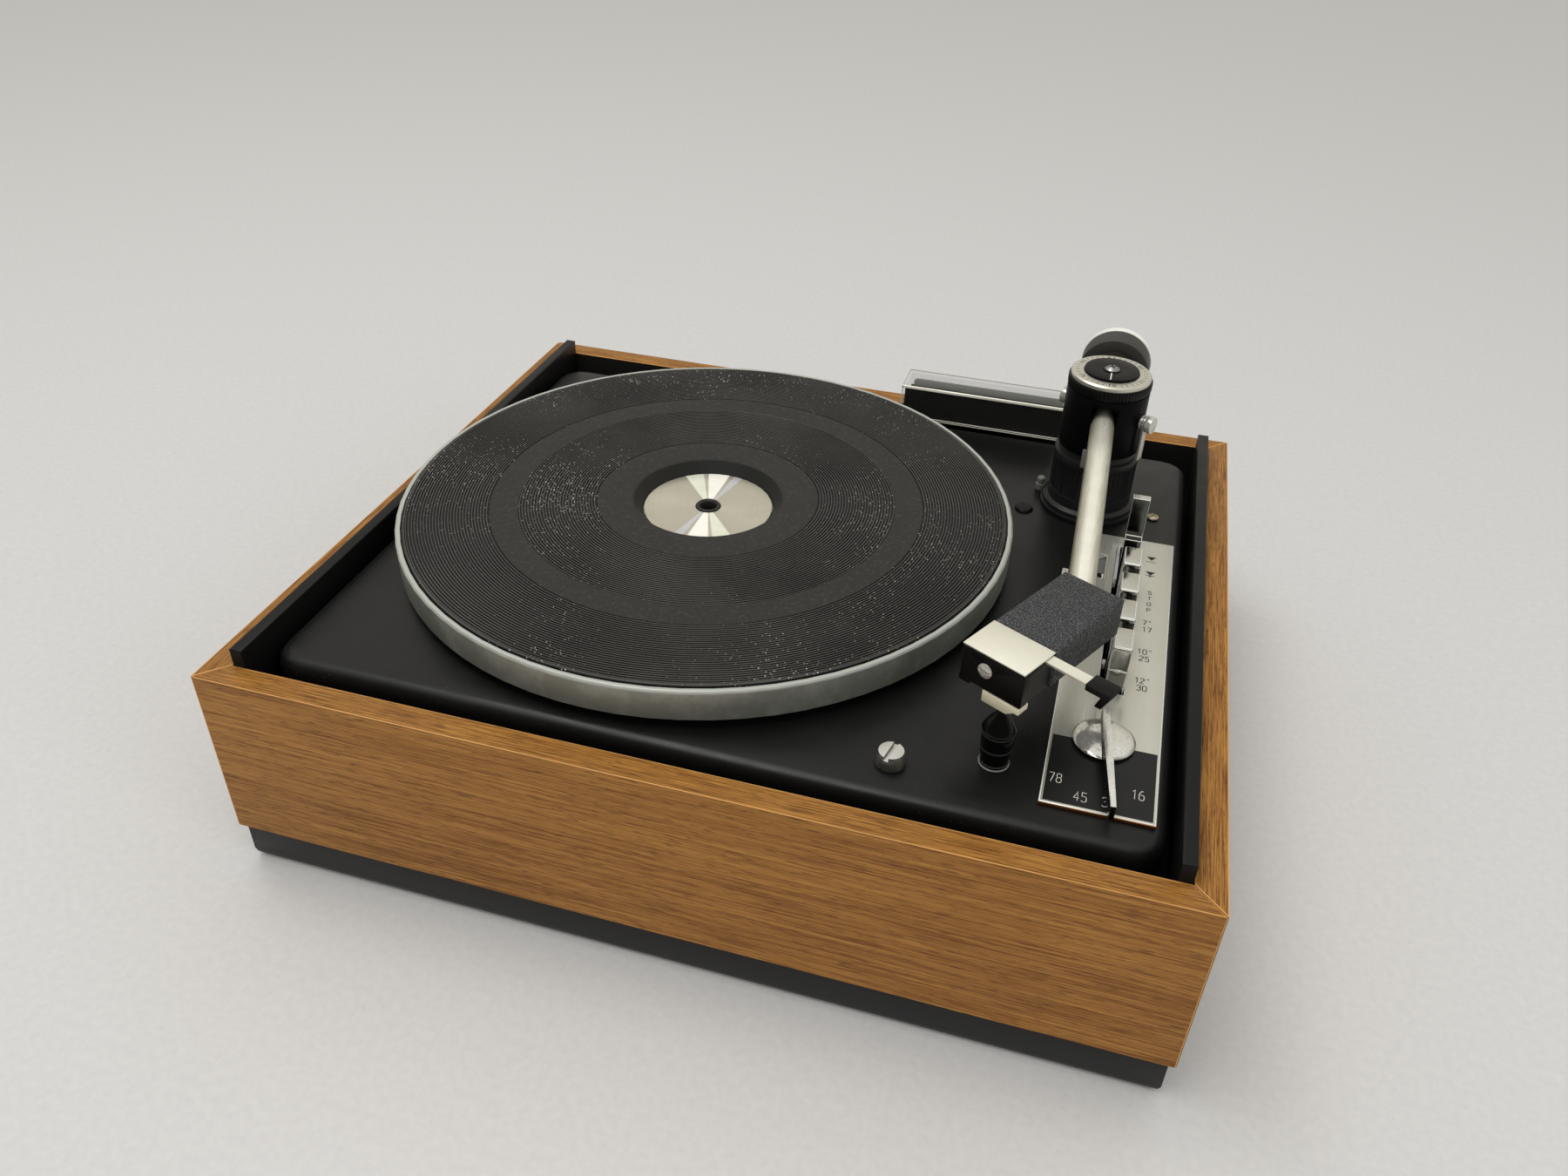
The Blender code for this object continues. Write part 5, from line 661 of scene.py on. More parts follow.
# Finishes in use
# The plinth's boards: the axis of the grain, and the way that the inner face looks
BOARDS = {"front": ("X", "+Y"), "back": ("X", "-Y"), "left": ("Y", "+X"), "right": ("Y", "-X")}
for side, grain_and_inward in BOARDS.items():
    veneer("walnut_" + side, *grain_and_inward)
stained_base()
enamel("chassis_enamel", tone(13, 13, 13), 0.36, 0.30, edge_sheen=tone(25, 25, 25))
enamel("inner_black", tone(10, 10, 10), 0.65, 0.2, shine=0.15)
enamel("rail_paint", tone(15, 15, 15), 0.42, 0.12, shine=0.2)
enamel("satin_plastic", tone(10, 10, 10), 0.36, 0.08, 500, shine=0.16)
enamel("tower_plastic", tone(24, 24, 25), 0.36, 0.12, 500, shine=0.25)
enamel("turret_black", tone(6, 6, 7), 0.42, 0.03, 500, shine=0.07)
enamel("gloss_plastic", tone(6, 6, 6), 0.16, 0.05, 300, 0.004 * MM, shine=0.2)
enamel("dull_plastic", tone(38, 38, 36), 0.45, 0.12, 600)
enamel("weight_black", tone(58, 57, 54), 0.5, 0.06, 600)
enamel("fitting_grey", tone(104, 104, 101), 0.4, 0.3, 600)
enamel("board_grey", tone(150, 152, 148), 0.4, 0.0, 600)
enamel("tray_plastic", tone(8, 8, 9), 0.35, 0.0, 300, 0.004 * MM, shine=0.08)
rubber()
turned_metal("rim_metal", tone(152, 155, 148), 0.46, PLATTER_CENTRE, 5200, 0.5, 0.62,
             lip=(rim_top - RIM_LIP, tone(190, 193, 187)))
# Painted highlight: a paler finish on the platter's bevelled edges.
turned_metal("rim_edge", tone(196, 197, 188), 0.40, PLATTER_CENTRE, 5200, metallic=0.5)
spun_disc()
turned_metal("dial_metal", tone(212, 209, 196), 0.34, TOWER_CENTRE, 9000, metallic=0.75)
brushed("plate_metal", tone(208, 207, 195), 0.36, 2600, 60, 60, 0.003 * MM, 0.18, 0.75)
brushed("head_plate_metal", tone(238, 236, 220), 0.36, 300, 300, 300, 0.003 * MM, 0.16, 0.6)
brushed("tube_metal", tone(248, 246, 232), 0.34, 700, 60, 700, 0.002 * MM, 0.38, 0.55,
        side_shade=tone(158, 154, 134))
brushed("steel", tone(196, 194, 188), 0.30, 300, 300, 900, metallic=0.7)
brushed("bright_steel", tone(208, 207, 200), 0.30, 500, 500, 500, 0.002 * MM, 0.5, 0.6)
brushed("zinc_steel", tone(160, 160, 158), 0.42, 240, 240, 240)
brushed("spring_steel", tone(150, 148, 142), 0.35, 500, 500, 500)
chrome("bright_chrome", tone(222, 221, 214), tone(168, 170, 172), tone(150, 156, 162), 0.07)
chrome("key_chrome", tone(214, 213, 203), tone(176, 176, 172), tone(158, 166, 174), 0.12, pits=0.15,
       highlight_blobs=0.9)
chrome("guide_chrome", tone(196, 199, 199), tone(240, 240, 236), tone(168, 172, 174), 0.2, pits=0.1,
       highlight_blobs=0.9, metallic=0.2)
chrome("pitted_chrome", tone(232, 230, 222), tone(20, 20, 22), tone(34, 37, 42), 0.12, pits=0.8,
       metallic=0.72)
chrome("screw_chrome", tone(216, 215, 208), tone(104, 104, 101), tone(112, 112, 108), 0.16, pits=0.35,
       metallic=0.7)
# Painted highlight: a near-white finish for bevelled edges and the counterweight's rim.
brushed("chrome_edge", tone(246, 246, 242), 0.30, 400, 400, 400, 0.002 * MM, 0.1, 0.3)
brushed("aged_brass", tone(186, 174, 146), 0.38, 900, 900, 900, 0.01 * MM, metallic=0.7)
crackle()
clear_acrylic()
# Painted highlight: a pale opaque finish for the clear cover's edges.
enamel("acrylic_edge_highlight", tone(226, 223, 212), 0.35, 0.0, 300, 0.002 * MM)
enamel("acrylic_shade", tone(172, 169, 160), 0.35, 0.0, 300, 0.002 * MM)
# Painted highlight: a light line along the plinth boards' bevelled edges.
enamel("walnut_edge_highlight", tone(192, 142, 82), 0.45, 0.0, 900, 0.004 * MM)
# Painted highlight: light lines on the rest post's bevelled edges and grooves.
enamel("post_line", tone(60, 60, 58), 0.3, 0.0, 300, 0.002 * MM)
enamel("cream_plastic", tone(202, 196, 174), 0.4, 0.08, 800)
enamel("black_field", tone(17, 17, 17), 0.32, 0.25, 800, 0.004 * MM)
print_ink("ink_dark", tone(26, 26, 25))
print_ink("ink_white", tone(206, 206, 198))
# Painted reflection: the walnut's colour as the plate's front edge mirrors it.
brushed("painted_wood_reflection", tone(186, 130, 84), 0.4, 60, 900, 900)

# The frame's own pieces by finish, softened edge, the finish that paints a highlight on that edge and the
# angle that is shaded smooth
for node_names, *finish_and_edge in (
    ("plinth_base", "base_stain", EDGE),
    ("rail_left rail_right", "rail_paint", EDGE),
    ("bottom_panel shelf_left shelf_right", "inner_black"),
    ("rear_bracket dial_screw", "zinc_steel", FINE_EDGE),
    ("main_bearing motor idler_arm cam_gear key_frame", "zinc_steel"),
    ("motor_pulley", "aged_brass"),
    ("trim_screw", "aged_brass", FINE_EDGE),
    ("spring_front_left spring_front_right spring_back_left spring_back_right", "spring_steel"),
    ("chassis_plate", "chassis_enamel"),
    ("control_plate", "plate_metal", FINE_EDGE, "chrome_edge"),
    ("cable_gland spindle_bush", "dull_plastic", FINE_EDGE),
    ("hole_plug dial_index cartridge_carrier cartridge", "satin_plastic", FINE_EDGE),
    ("finger_grip", "satin_plastic", EDGE),
    ("transit_screw", "screw_chrome", FINE_EDGE, "chrome_edge"),
    ("rest_post", "gloss_plastic", FINE_EDGE, "post_line"),
    ("platter", "rim_metal", EDGE, "rim_edge"),
    ("centre_disc", "disc_metal"),
    ("platter_mat idler_wheel", "mat_rubber"),
    ("tower_base", "tower_plastic", FINE_EDGE),
    ("arm_turret", "turret_black", FINE_EDGE),
    ("dial_ring", "dial_metal", FINE_EDGE),
    ("pivot_screw_left pivot_screw_right carrier_screw", "bright_steel", FINE_EDGE),
    ("force_lever", "steel", FINE_EDGE),
    ("weight_stub", "steel"),
    ("arm_tube", "tube_metal", FINE_EDGE),
    ("counterweight", "weight_black", FINE_EDGE),
    ("headshell", "headshell_crackle", FINE_EDGE),
    ("head_plate finger_lift", "head_plate_metal", FINE_EDGE),
    ("stylus_holder", "cream_plastic", FINE_EDGE),
    ("spindle_cover", "clear_acrylic"),
    ("spindle_tray", "tray_plastic"),
    ("speed_knob", "pitted_chrome", FINE_EDGE, "chrome_edge"),
    ("cue_lever", "bright_chrome", BROAD_EDGE, "chrome_edge", 10),
    ("key_stop key_17 key_25 key_30", "key_chrome", FINE_EDGE, "chrome_edge"),
):
    for node_name in node_names.split():
        dress(node_name, *finish_and_edge)
for side in BOARDS:
    dress("plinth_" + side, "walnut_" + side, EDGE, "walnut_edge_highlight")

# A rib's section, as shares of the pitch: where its groove's floor ends, and where its crest starts and ends
RIB_FLOOR_SHARE = 0.42
RIB_CREST_SHARES = (0.56, 0.86)
# The mat's outer edge: points in from its radius and down from its top
MAT_EDGE = ((0.9 * MM, 0), (0.3 * MM, 0.4 * MM), (0, 1.2 * MM))
MAT_STEPS = 240


def mat_profile():
    """The mat's section: a dished middle, plain rings, and two bands of fine ribs."""
    floor, lip = mat_low.z, MAT_HOLE_LIP
    points = [(MAT_HOLE_FOOT, floor), (MAT_HOLE_FOOT, floor + lip), (MAT_HOLE_TOP - lip, MAT_TOP - lip / 2),
              (MAT_HOLE_TOP + lip / 2, MAT_TOP)]
    for start, end in MAT_RIB_BANDS:
        points.append((start - RIB_PITCH / 4, MAT_TOP))
        for rib in range(round((end - start) / RIB_PITCH)):
            valley = start + rib * RIB_PITCH
            points.append((valley, MAT_TOP - RIB_DEPTH))
            points.append((valley + RIB_PITCH * RIB_FLOOR_SHARE, MAT_TOP - RIB_DEPTH))
            points += [(valley + RIB_PITCH * share, MAT_TOP) for share in RIB_CREST_SHARES]
        points += [(end, MAT_TOP - RIB_DEPTH), (end + RIB_PITCH / 4, MAT_TOP)]
    points += [(MAT_RADIUS - inward, MAT_TOP - drop) for inward, drop in MAT_EDGE]
    return points + [(MAT_RADIUS, floor)]


add_piece("mat_ribbed", lathed(mat_profile(), PLATTER_CENTRE, MAT_STEPS), "mat_rubber", "platter",
          stands_for=["platter_mat"])

# Printed marks on the control plate: the middles of their places in millimetres, and their height, width and
# stroke
plate_low, plate_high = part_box("control_plate")
chassis_top = plate_low.z
INK = 0.02 * MM
PRINT_LEVEL = plate_high.z + 0.03 * MM
MARK_X = 174.0
MARK_SIZE = (3.5 * MM, 1.6 * MM, 0.42 * MM)
SIZE_MARKS = (("7'", -16.7), ("17", -21.8), ("10'", -39.0), ("25", -44.0), ("12'", -60.0), ("30", -65.0))
STOP_SIZE = (2.7 * MM, 1.5 * MM, 0.36 * MM)
STOP_MARKS = (("S", 8.4), ("T", 3.6), ("O", -1.2), ("P", -6.0))
SPEED_SIZE = (5.0 * MM, 1.9 * MM, 0.29 * MM)
SPEED_MARKS = (("78", 144.8, -130.9), ("45", 155.0, -138.6), ("33", 165.6, -138.7), ("16", 176.1, -131.0))

marks = []
for letters, size in ((SIZE_MARKS, MARK_SIZE), (STOP_MARKS, STOP_SIZE)):
    for text, y in letters:
        marks += lettering(text, MARK_X * MM, y * MM, size, PRINT_LEVEL)


def arrow(x, y, half, rise):
    """A printed triangle that points down, or up where its half width and rise are negative."""
    outline = [(x - half, y + rise / 2), (x, y - rise / 2), (x + half, y + rise / 2)]
    return prism(outline, PRINT_LEVEL, PRINT_LEVEL + INK / 2)


# The lever's two marks: a triangle over a line, whose drop is a share of the triangle's rise; under the
# second line a small triangle points up
ARROW_X = MARK_X * MM - 0.6 * MM
ARROW_HALF = 2.3 * MM
ARROW_RISE = 3.2 * MM
ARROW_LINE = 0.35 * MM
SMALL_HALF = 0.9 * MM
SMALL_RISE = 1.0 * MM
for middle_y, drop_share, doubled in ((38.6 * MM, 0.95, False), (25.0 * MM, 0.55, True)):
    line_y = middle_y - ARROW_RISE * drop_share
    marks.append(arrow(ARROW_X, middle_y, ARROW_HALF, ARROW_RISE))
    line = [(ARROW_X - ARROW_HALF, line_y), (ARROW_X + ARROW_HALF, line_y)]
    marks.append(ribbon(line, ARROW_LINE, PRINT_LEVEL))
    if doubled:
        marks.append(arrow(ARROW_X, line_y - SMALL_RISE / 2, -SMALL_HALF, -SMALL_RISE))
add_piece("plate_marks", merged(*marks), "ink_dark", "chassis")

# The dark field under the speeds, and a copper-coloured strip on the plate's front edge, a painted reflection
# of the walnut
FIELD_BORDER = 1.3 * MM
FIELD_BACK = -105.6 * MM
FIELD_SUNK = 0.05 * MM
FRONT_EDGE = 0.45 * MM
FRONT_DROP = 0.1 * MM
field_left, field_right = plate_low.x + FIELD_BORDER, plate_high.x - FIELD_BORDER
field_front = plate_low.y + FIELD_BORDER
field = block((field_left, field_front, plate_high.z - FIELD_SUNK),
              (field_right, FIELD_BACK, plate_high.z + INK))
add_piece("speed_field", field, "black_field", "chassis")
speeds = []
for text, x, y in SPEED_MARKS:
    speeds += lettering(text, x * MM, y * MM, SPEED_SIZE, PRINT_LEVEL + INK)
add_piece("speed_marks", merged(*speeds), "ink_white", "chassis")
front_edge_reflection = block((plate_low.x, plate_low.y - FRONT_EDGE, plate_low.z),
                   (plate_high.x, plate_low.y, plate_high.z - FRONT_DROP))
add_piece("plate_front_reflection", front_edge_reflection, "painted_wood_reflection", "chassis")

# The plate's window: its slanted head and the glossy flag behind it
WINDOW_LEFT, WINDOW_RIGHT, WINDOW_FRONT, WINDOW_BACK = 148.2 * MM, 152.2 * MM, 13.0 * MM, 35.0 * MM
WINDOW_SLANT = 4.2 * MM
WINDOW_SHORT = 0.6 * MM
WINDOW_CORNER = 0.8 * MM
LAP = 0.1 * MM
FLAG_FRONT, FLAG_BACK, FLAG_THICK = WINDOW_FRONT + 1.8 * MM, WINDOW_FRONT + 6.5 * MM, 0.4 * MM
SHADE_FRONT, SHADE_THICK = WINDOW_FRONT + 6.7 * MM, 0.3 * MM
slant = [(WINDOW_LEFT - LAP, WINDOW_BACK - WINDOW_SLANT), (WINDOW_RIGHT + LAP, WINDOW_BACK - WINDOW_SHORT),
         (WINDOW_RIGHT + LAP, WINDOW_BACK + LAP), (WINDOW_LEFT - LAP, WINDOW_BACK + LAP)]
add_piece("window_head", prism(slant, plate_low.z, plate_high.z), "plate_metal", "chassis",
          THIN_EDGE)
flag = block((WINDOW_LEFT, FLAG_FRONT, plate_low.z), (WINDOW_RIGHT, FLAG_BACK, plate_low.z + FLAG_THICK),
             WINDOW_CORNER)
add_piece("window_flag", flag, "bright_chrome", "chassis", THIN_EDGE)
shade = block((WINDOW_LEFT, SHADE_FRONT, plate_low.z), (WINDOW_RIGHT, WINDOW_BACK, plate_low.z + SHADE_THICK),
              WINDOW_CORNER)
add_piece("window_shade", shade, "fitting_grey", "chassis", THIN_EDGE)

# A thin bright strip on the chassis beside the plate, mostly under the head
STRIP_LEFT, STRIP_RIGHT, STRIP_FRONT, STRIP_BACK = 132.4 * MM, 135.3 * MM, -9 * MM, 17.4 * MM
STRIP_CORNER = 0.7 * MM
STRIP_THICK = 1.1 * MM
STRIP_EDGE = 0.15 * MM
strip = block((STRIP_LEFT, STRIP_FRONT, chassis_top), (STRIP_RIGHT, STRIP_BACK, chassis_top + STRIP_THICK),
              STRIP_CORNER)
add_piece("chassis_strip", strip, "acrylic_shade", "chassis", STRIP_EDGE)

# The dial: a black knurled ring under a bright scale with its divisions
dial_low, dial_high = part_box("dial_ring")
DIAL_RADIUS = (dial_high.x - dial_low.x) / 2
GRIP_ROUND = 0.4 * MM
GRIP_FOOT, GRIP_FOOT_RISE = 0.5 * MM, 0.9 * MM
SCALE_RADIUS = DIAL_RADIUS - 0.9 * MM
SCALE_HOLE = 13.6 * MM
SCALE_DROP = 2.4 * MM
SCALE_BEVEL, SCALE_BEVEL_DROP = 0.9 * MM, 0.7 * MM
SCALE_LIFT = 0.05 * MM
SCALE_STEPS = 128
KNURLS = 72
KNURL_STEPS = 4
KNURL_DEPTH = 0.35 * MM
KNURL_BAND = 0.05 * MM
step_z = dial_high.z - SCALE_DROP


def knurled(radius, turn):
    """Shallow grooves round the grip, none on its shoulders."""
    if radius < DIAL_RADIUS - KNURL_BAND:
        return radius
    return radius - KNURL_DEPTH * (0.5 + 0.5 * math.cos(KNURLS * turn))


grip = [(SCALE_HOLE, step_z), (SCALE_RADIUS, step_z), (DIAL_RADIUS - GRIP_ROUND, step_z),
        (DIAL_RADIUS, step_z - GRIP_ROUND), (DIAL_RADIUS, dial_low.z + GRIP_FOOT_RISE),
        (DIAL_RADIUS - GRIP_FOOT, dial_low.z), (SCALE_HOLE, dial_low.z)]
add_piece("dial_grip", lathed(grip, TOWER_CENTRE, KNURLS * KNURL_STEPS, knurled), "satin_plastic",
          "dial_ring", stands_for=["dial_ring"])
scale = [(SCALE_HOLE, dial_high.z), (SCALE_RADIUS - SCALE_BEVEL, dial_high.z),
         (SCALE_RADIUS, dial_high.z - SCALE_BEVEL_DROP), (SCALE_RADIUS, step_z + SCALE_LIFT),
         (SCALE_HOLE, step_z + SCALE_LIFT)]
add_piece("dial_scale", lathed(scale, TOWER_CENTRE, SCALE_STEPS), "dial_metal", "dial_ring")

# Its divisions, with a longer one at every sixth, and a small figure beside each long one
DIVISIONS = 36
LONG_EVERY = 6
DIVISION_END = 17.6 * MM
LONG_START, LONG_STROKE = 14.9 * MM, 0.5 * MM
SHORT_START, SHORT_STROKE = 15.7 * MM, 0.3 * MM
FIGURE_RADIUS = 16.3 * MM
FIGURE_SIZE = (1.9 * MM, 1.0 * MM, 0.3 * MM)
FIGURE_LEAD = math.radians(7)
divisions = []
for tick in range(DIVISIONS):
    turn = 2 * math.pi * tick / DIVISIONS - math.pi / 2
    start, stroke = (SHORT_START, SHORT_STROKE) if tick % LONG_EVERY else (LONG_START, LONG_STROKE)
    points = [polar(TOWER_CENTRE, reach, turn) for reach in (start, DIVISION_END)]
    divisions.append(ribbon(points, stroke, dial_high.z + INK))
for number in range(DIVISIONS // LONG_EVERY):
    turn = 2 * math.pi * number / (DIVISIONS // LONG_EVERY) - math.pi / 2 + FIGURE_LEAD
    x, y = polar(TOWER_CENTRE, FIGURE_RADIUS, turn)
    divisions += lettering(str(number), x, y, FIGURE_SIZE, dial_high.z + INK, turn + math.pi / 2)
add_piece("dial_divisions", merged(*divisions), "ink_dark", "dial_ring")

# The index's white line and the thin lip round its screw
INDEX_LINE = (4.6 * MM, 12.4 * MM)
INDEX_STROKE = 0.6 * MM
INDEX_LIP = ((3.95, 0.02), (4.6, 0.02), (4.5, 0.3), (4.1, 0.3))
index_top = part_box("dial_index")[1].z
line = [(TOWER_CENTRE[0], TOWER_CENTRE[1] - reach) for reach in INDEX_LINE]
add_piece("index_line", ribbon(line, INDEX_STROKE, index_top + INK), "ink_white", "turret")
lip = lathed(section(INDEX_LIP, index_top), TOWER_CENTRE, RING_STEPS)
add_piece("index_lip", lip, "gloss_plastic", "turret")


def cross_recess(node, half, width, depth, turn):
    """Cuts a cross into a screw's head with two hidden cutters that ride with it."""
    screw = frame["nodes"][node]
    centre = middle(node)
    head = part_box(node)[1].z
    for quarter in range(2):
        place = (Matrix.Translation((centre.x, centre.y, 0))
                 @ Matrix.Rotation(turn + quarter * math.pi / 2, 4, "Z"))
        bar = block((-half, -width / 2, head - depth), (half, width / 2, head + depth), matrix=place)
        bmesh.ops.recalc_face_normals(bar, faces=bar.faces)
        mesh = bpy.data.meshes.new("recess")
        bar.to_mesh(mesh)
        bar.free()
        cutter = bpy.data.objects.new("recess_" + node + "_" + str(quarter), mesh)
        collection.objects.link(cutter)
        cutter.hide_render = True
        cutter.parent = screw
        recess = screw.modifiers.new("Recess", "BOOLEAN")
        recess.operation = "DIFFERENCE"
        recess.solver = "EXACT"
        recess.object = cutter


# Small fittings of the tower: a flat upright pin on its front, and a round lug beside its foot
PIN_HEADING = math.radians(-103.5)
PIN_HALF = 1.7 * MM
PIN_THICK = 1.4 * MM
PIN_CLEAR = 0.35 * MM
PIN_SUNK = 5 * MM
PIN_TOP = 151.4 * MM
turret_low, turret_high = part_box("arm_turret")
pin_start = (turret_high.x - turret_low.x) / 2 + PIN_CLEAR
pin_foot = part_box("tower_base")[1].z - PIN_SUNK
pin = block((pin_start, -PIN_HALF, pin_foot), (pin_start + PIN_THICK, PIN_HALF, PIN_TOP),
            matrix=Matrix.Translation((*TOWER_CENTRE, 0)) @ Matrix.Rotation(PIN_HEADING, 4, "Z"))
add_piece("tower_pin", pin, "fitting_grey", "chassis", SMALL_EDGE)
LUG_PLACE = (112.6 * MM, 92.4 * MM)
LUG_SECTION = ((0, 7.2), (1.5, 7.2), (2.1, 6.6), (2.1, 4.4), (1.6, 4.1), (1.6, 3.5), (2.5, 3.2), (2.5, 0),
               (0, 0))
lug = lathed(section(LUG_SECTION, chassis_top), LUG_PLACE, FITTING_STEPS)
add_piece("tower_lug", lug, "fitting_grey", "chassis")

# The plated guide beside the lever, and a small plated lug in the slot at each joint between two keys
SLOT_LEFT = 156.3 * MM
GUIDE_FRONT, GUIDE_BACK = 12.0 * MM, 44.6 * MM
GUIDE_CORNER = 1.0 * MM
FRONT_CORNERS = (True, True, False, False)
GUIDE_SUNK = 1.5 * MM
GUIDE_PROUD, SLOT_LUG_PROUD = 1.4 * MM, 0.3 * MM
SLOT_LUG_LENGTH = 3.2 * MM
SLOT_LUG_CORNER = 0.7 * MM
GUIDE_EDGE, SLOT_LUG_EDGE = 0.35 * MM, 0.25 * MM
guide_left = SLOT_LEFT + 0.2 * MM
guide_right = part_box("key_stop")[0].x - 0.7 * MM
guide_foot = plate_low.z - GUIDE_SUNK
guide = block((guide_left, GUIDE_FRONT, guide_foot), (guide_right, GUIDE_BACK, plate_high.z + GUIDE_PROUD),
              GUIDE_CORNER, FRONT_CORNERS)
add_piece("lever_guide", guide, "guide_chrome", "chassis", GUIDE_EDGE)
slot_lugs = []
for front_key, back_key in (("key_30", "key_25"), ("key_25", "key_17"), ("key_17", "key_stop")):
    joint = (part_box(front_key)[1].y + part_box(back_key)[0].y) / 2
    slot_lugs.append(block((guide_left, joint - SLOT_LUG_LENGTH / 2, guide_foot),
                           (guide_right, joint + SLOT_LUG_LENGTH / 2, plate_high.z + SLOT_LUG_PROUD),
                           SLOT_LUG_CORNER))
add_piece("slot_lugs", merged(*slot_lugs), "guide_chrome", "chassis", SLOT_LUG_EDGE)

# Washer under the arm's rest post
WASHER_SECTION = ((5.0, 0.45), (5.9, 0.45), (6.25, 0.2), (6.25, 0), (5.0, 0))
post = middle("rest_post")
washer = lathed(section(WASHER_SECTION, chassis_top), (post.x, post.y), RING_STEPS)
add_piece("post_washer", washer, "fitting_grey", "chassis")

# The counterweight's bright rear rim, whose near-white finish paints its highlight, in millimetres along the
# axis of its joint from where that starts
WEIGHT_START = Vector((137.747, 96.265, 166.029)) * MM
WEIGHT_END = 45.0
WEIGHT_RADIUS = 17.6
RIM_DEEP, RIM_FACE, RIM_LIFT = 2.6, 1.5, 0.1
RIM_PROUD, RIM_CHAMFER, RIM_WIDTH = 0.3, 1.6, 3.6
weight_axis = Vector(next(joint["axis"] for joint in frame["joints"] if joint["name"] == "weight_slide"))
rim_inner, rim_outer = WEIGHT_RADIUS - RIM_DEEP, WEIGHT_RADIUS + RIM_PROUD
rim_face, rim_back = WEIGHT_END + RIM_LIFT, WEIGHT_END - RIM_CHAMFER
rim = lathed(section([(rim_inner, rim_face), (WEIGHT_RADIUS - RIM_FACE, rim_face), (rim_outer, rim_back),
                      (rim_outer, rim_back - RIM_WIDTH), (rim_inner, rim_back - RIM_WIDTH)]), (0, 0))
rim.transform(Matrix.Translation(WEIGHT_START) @ weight_axis.to_track_quat("Z", "Y").to_matrix().to_4x4())
add_piece("weight_rim", rim, "chrome_edge", "counterweight")

# Painted highlights on the clear cover's edges and painted reflection lines on its back edges, its dark
# lining and the grey board inside it
left, front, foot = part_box("spindle_cover")[0]
right, back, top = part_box("spindle_cover")[1]
PROUD = 0.06 * MM
WALL = 1.4 * MM
TOP_BAND = 1.1 * MM
CORNER_LINE = 0.5 * MM
LINE_DEEP = 0.4 * MM
FOOT_LINE = 0.35 * MM
STEP_LINE = 1.0 * MM
BACK_LINE, BACK_DROP = 0.35 * MM, 0.3 * MM
LINING_FOOT, LINING_THICK = 1.6 * MM, 0.5 * MM
add_piece("cover_edge_highlights", merged(
    block((left, front - PROUD, top - TOP_BAND), (right, front + WALL, top + PROUD)),
    block((left - PROUD, front - PROUD, foot), (left + CORNER_LINE, front + CORNER_LINE, top)),
    block((left, front - PROUD, foot), (right, front + LINE_DEEP, foot + FOOT_LINE)),
    block((left, front - PROUD, foot + STEP_LINE), (right, front + LINE_DEEP, foot + STEP_LINE + LINE_DEEP)),
), "acrylic_edge_highlight", "spindle_cover")
# Painted reflection: greyer lines along the cover's back and left top edges.
add_piece("cover_back_edge_reflections", merged(
    block((left, back - BACK_LINE, top - BACK_DROP), (right, back + PROUD, top + PROUD)),
    block((left - PROUD, front + WALL, top - BACK_DROP), (left + BACK_LINE, back - BACK_LINE, top + PROUD)),
), "acrylic_shade", "spindle_cover")
inset = WALL + LAP
lining = block((left + inset, front + inset, foot + LINING_FOOT),
               (right - inset, front + inset + LINING_THICK, top - inset))
add_piece("cover_lining", lining, "tray_plastic", "spindle_cover", FINE_EDGE)

BOARD_INSET = 1.5 * MM
BOARD_SUNK, BOARD_RISE = 1.0 * MM, 4.6 * MM
BOARD_CORNER = 2.4 * MM
UPPER_CORNERS = (False, False, True, True)
BOARD_GAP, BOARD_THICK = 0.4 * MM, 0.8 * MM
tray_low, tray_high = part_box("spindle_tray")
board_back = BOARD_GAP - tray_high.y
board = block((tray_low.x + BOARD_INSET, tray_high.z - BOARD_SUNK, board_back),
              (tray_high.x - BOARD_INSET, tray_high.z + BOARD_RISE, board_back + BOARD_THICK),
              BOARD_CORNER, UPPER_CORNERS, UPRIGHT)
add_piece("tray_board", board, "board_grey", "plinth", SMALL_EDGE)

# Behind the platter: a pale strip on the back board and a small round clip
PALE_LEFT, PALE_RIGHT, PALE_FOOT, PALE_TOP = -127 * MM, -96 * MM, 103.0 * MM, 107.2 * MM
PALE_FRONT, PALE_BACK = 165.0 * MM, 168.4 * MM
PALE_CORNER = 1.2 * MM
pale = block((PALE_LEFT, PALE_FOOT, -PALE_BACK), (PALE_RIGHT, PALE_TOP, -PALE_FRONT), PALE_CORNER,
             matrix=UPRIGHT)
add_piece("rear_strip", pale, "cream_plastic", "plinth", EDGE)
CLIP_PLACE = (-139.0 * MM, 163.5 * MM)
CLIP_FOOT = 103.2 * MM
CLIP_SECTION = ((0, 3.3), (1.6, 3.3), (2.4, 2.4), (2.4, 0), (0, 0))
clip = lathed(section(CLIP_SECTION, CLIP_FOOT), CLIP_PLACE, FITTING_STEPS)
add_piece("rear_clip", clip, "bright_chrome", "plinth")

cross_recess("dial_screw", half=2.2 * MM, width=0.8 * MM, depth=0.7 * MM, turn=math.radians(20))
cross_recess("trim_screw", half=2.0 * MM, width=0.8 * MM, depth=0.8 * MM, turn=math.radians(65))

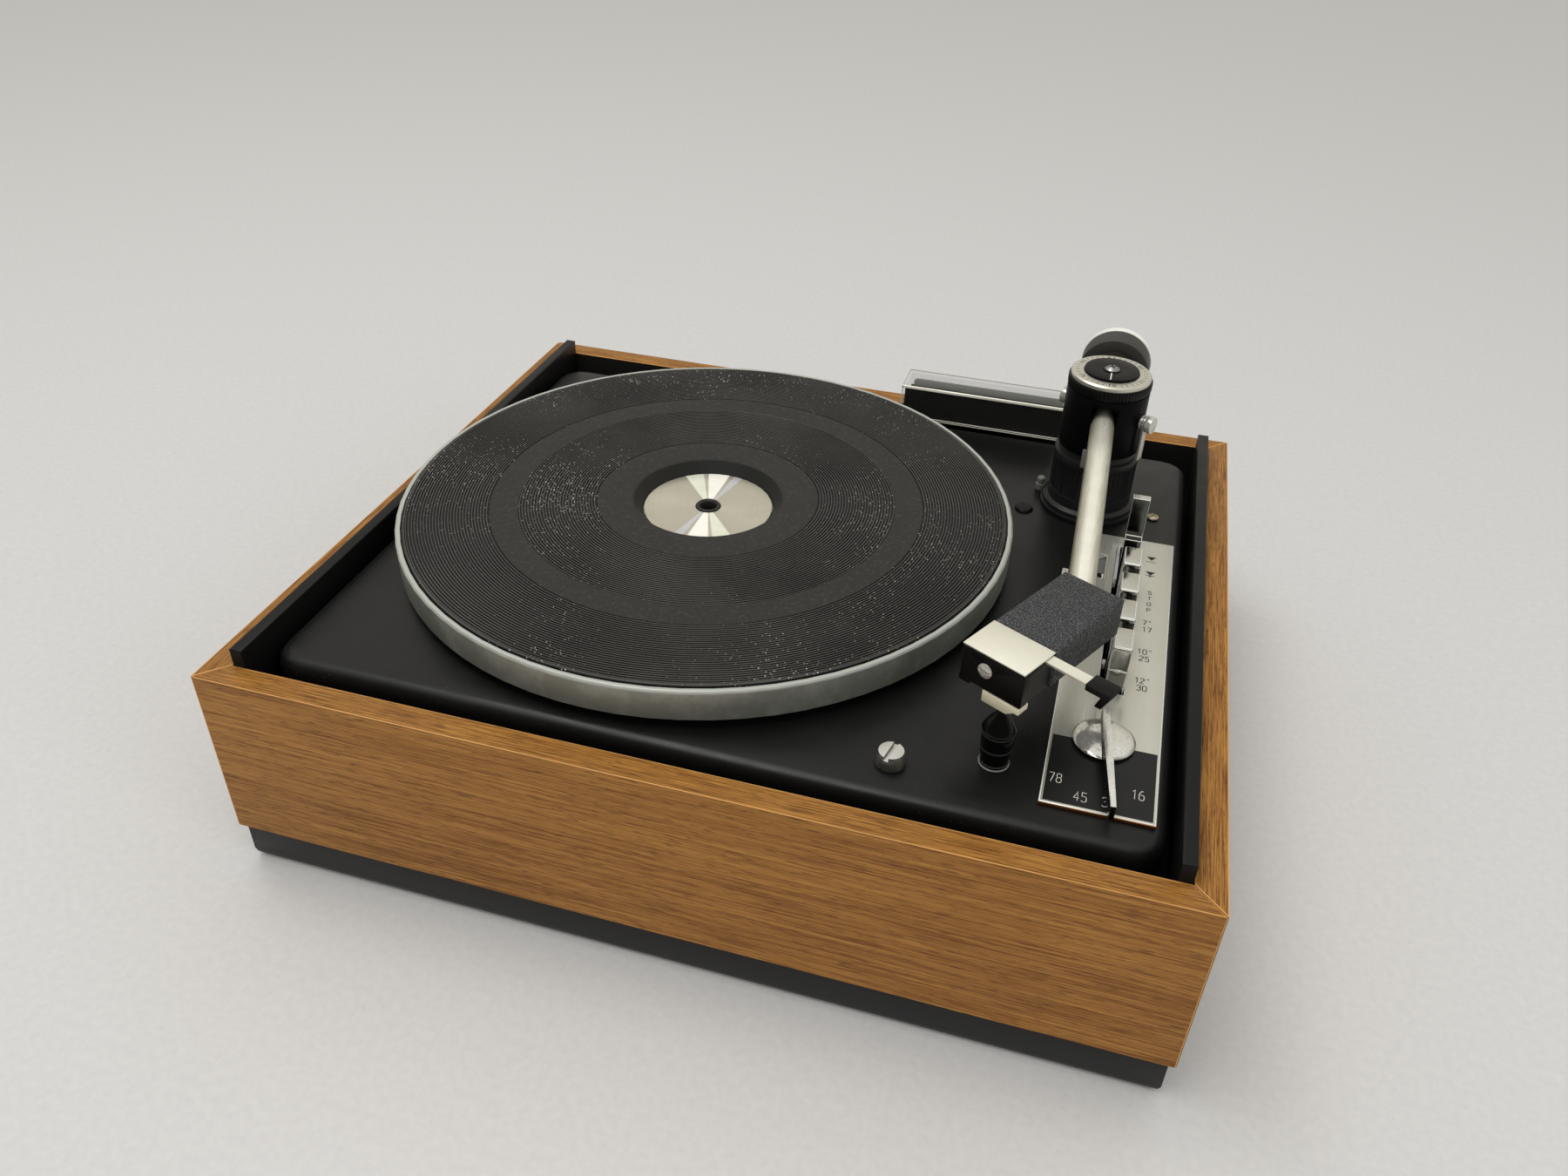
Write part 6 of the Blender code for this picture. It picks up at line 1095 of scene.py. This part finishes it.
# The floor
FLOOR_SIZE = 12
floor_finish = Finish("floor", roughness=0.42, specular_ior_level=0.3)
speckle = floor_finish.noise(260, 4, 0.6)
floor_colour = floor_finish.ramp(speckle, (0.3, tone(202, 202, 203)), (0.7, tone(209, 209, 209)))
floor_finish.set(base_color=floor_colour)
floor_finish.bump(speckle, 0.03 * MM)
bpy.ops.mesh.primitive_plane_add(size=FLOOR_SIZE)
floor = bpy.context.object
floor.name = "floor"
floor.data.materials.append(floor_finish.material)


class Room(Finish):
    """The world's nodes; its patterns are read by direction."""

    def __init__(self, name):
        self.world = bpy.data.worlds.new(name)
        bpy.context.scene.world = self.world
        self.start(self.world, "Background", "Generated")

    def ray(self, kind):
        return self.node("LightPath").outputs["Is " + kind + " Ray"]


# The room by the height of the direction: walls, then a brighter ceiling. Behind the camera it is dark, which
# only reflections show
DARK_SHARE = 0.85
room = Room("room")
walls = room.ramp(room.part(room.space, "Z"), (0.0, (0.50, 0.48, 0.43, 1)), (0.35, (0.62, 0.59, 0.52, 1)),
                  (0.65, (0.72, 0.70, 0.65, 1)), (1.0, (0.92, 0.92, 0.91, 1)))
far_side = room.span(room.part(room.space, "Y"), -0.30, 0.10)
overhead = room.span(room.part(room.space, "Z"), 0.72, 0.92)
dimmed = room.math("SUBTRACT", 1.0, room.math("MAXIMUM", far_side, overhead))
dark = room.times(room.times(dimmed, DARK_SHARE), room.ray("Glossy"))
reflected = room.mix(dark, walls, (0.02, 0.02, 0.02, 1))
room.set(color=room.mix(room.ray("Camera"), reflected, tone(212, 206, 192)))


def softbox(name, place, size, watts, colour):
    """A rectangular lamp that looks at the middle of the machine."""
    light = bpy.data.lights.new(name, "AREA")
    light.shape = "RECTANGLE"
    light.size, light.size_y = size
    light.energy = watts
    light.color = colour
    lamp = bpy.data.objects.new(name, light)
    lamp.location = place
    lamp.rotation_mode = "QUATERNION"
    lamp.rotation_quaternion = (LAMP_AIM - Vector(place)).to_track_quat("-Z", "Y")
    bpy.context.scene.collection.objects.link(lamp)
    return lamp


LAMP_AIM = Vector((0, 0, 0.1))
softbox("ceiling", (-0.5, -0.3, 1.9), (1.6, 0.5), 14, (1, 0.98, 0.95))
softbox("window", (1.6, -0.9, 1.1), (0.9, 0.9), 6, (0.97, 0.98, 1)).visible_glossy = False
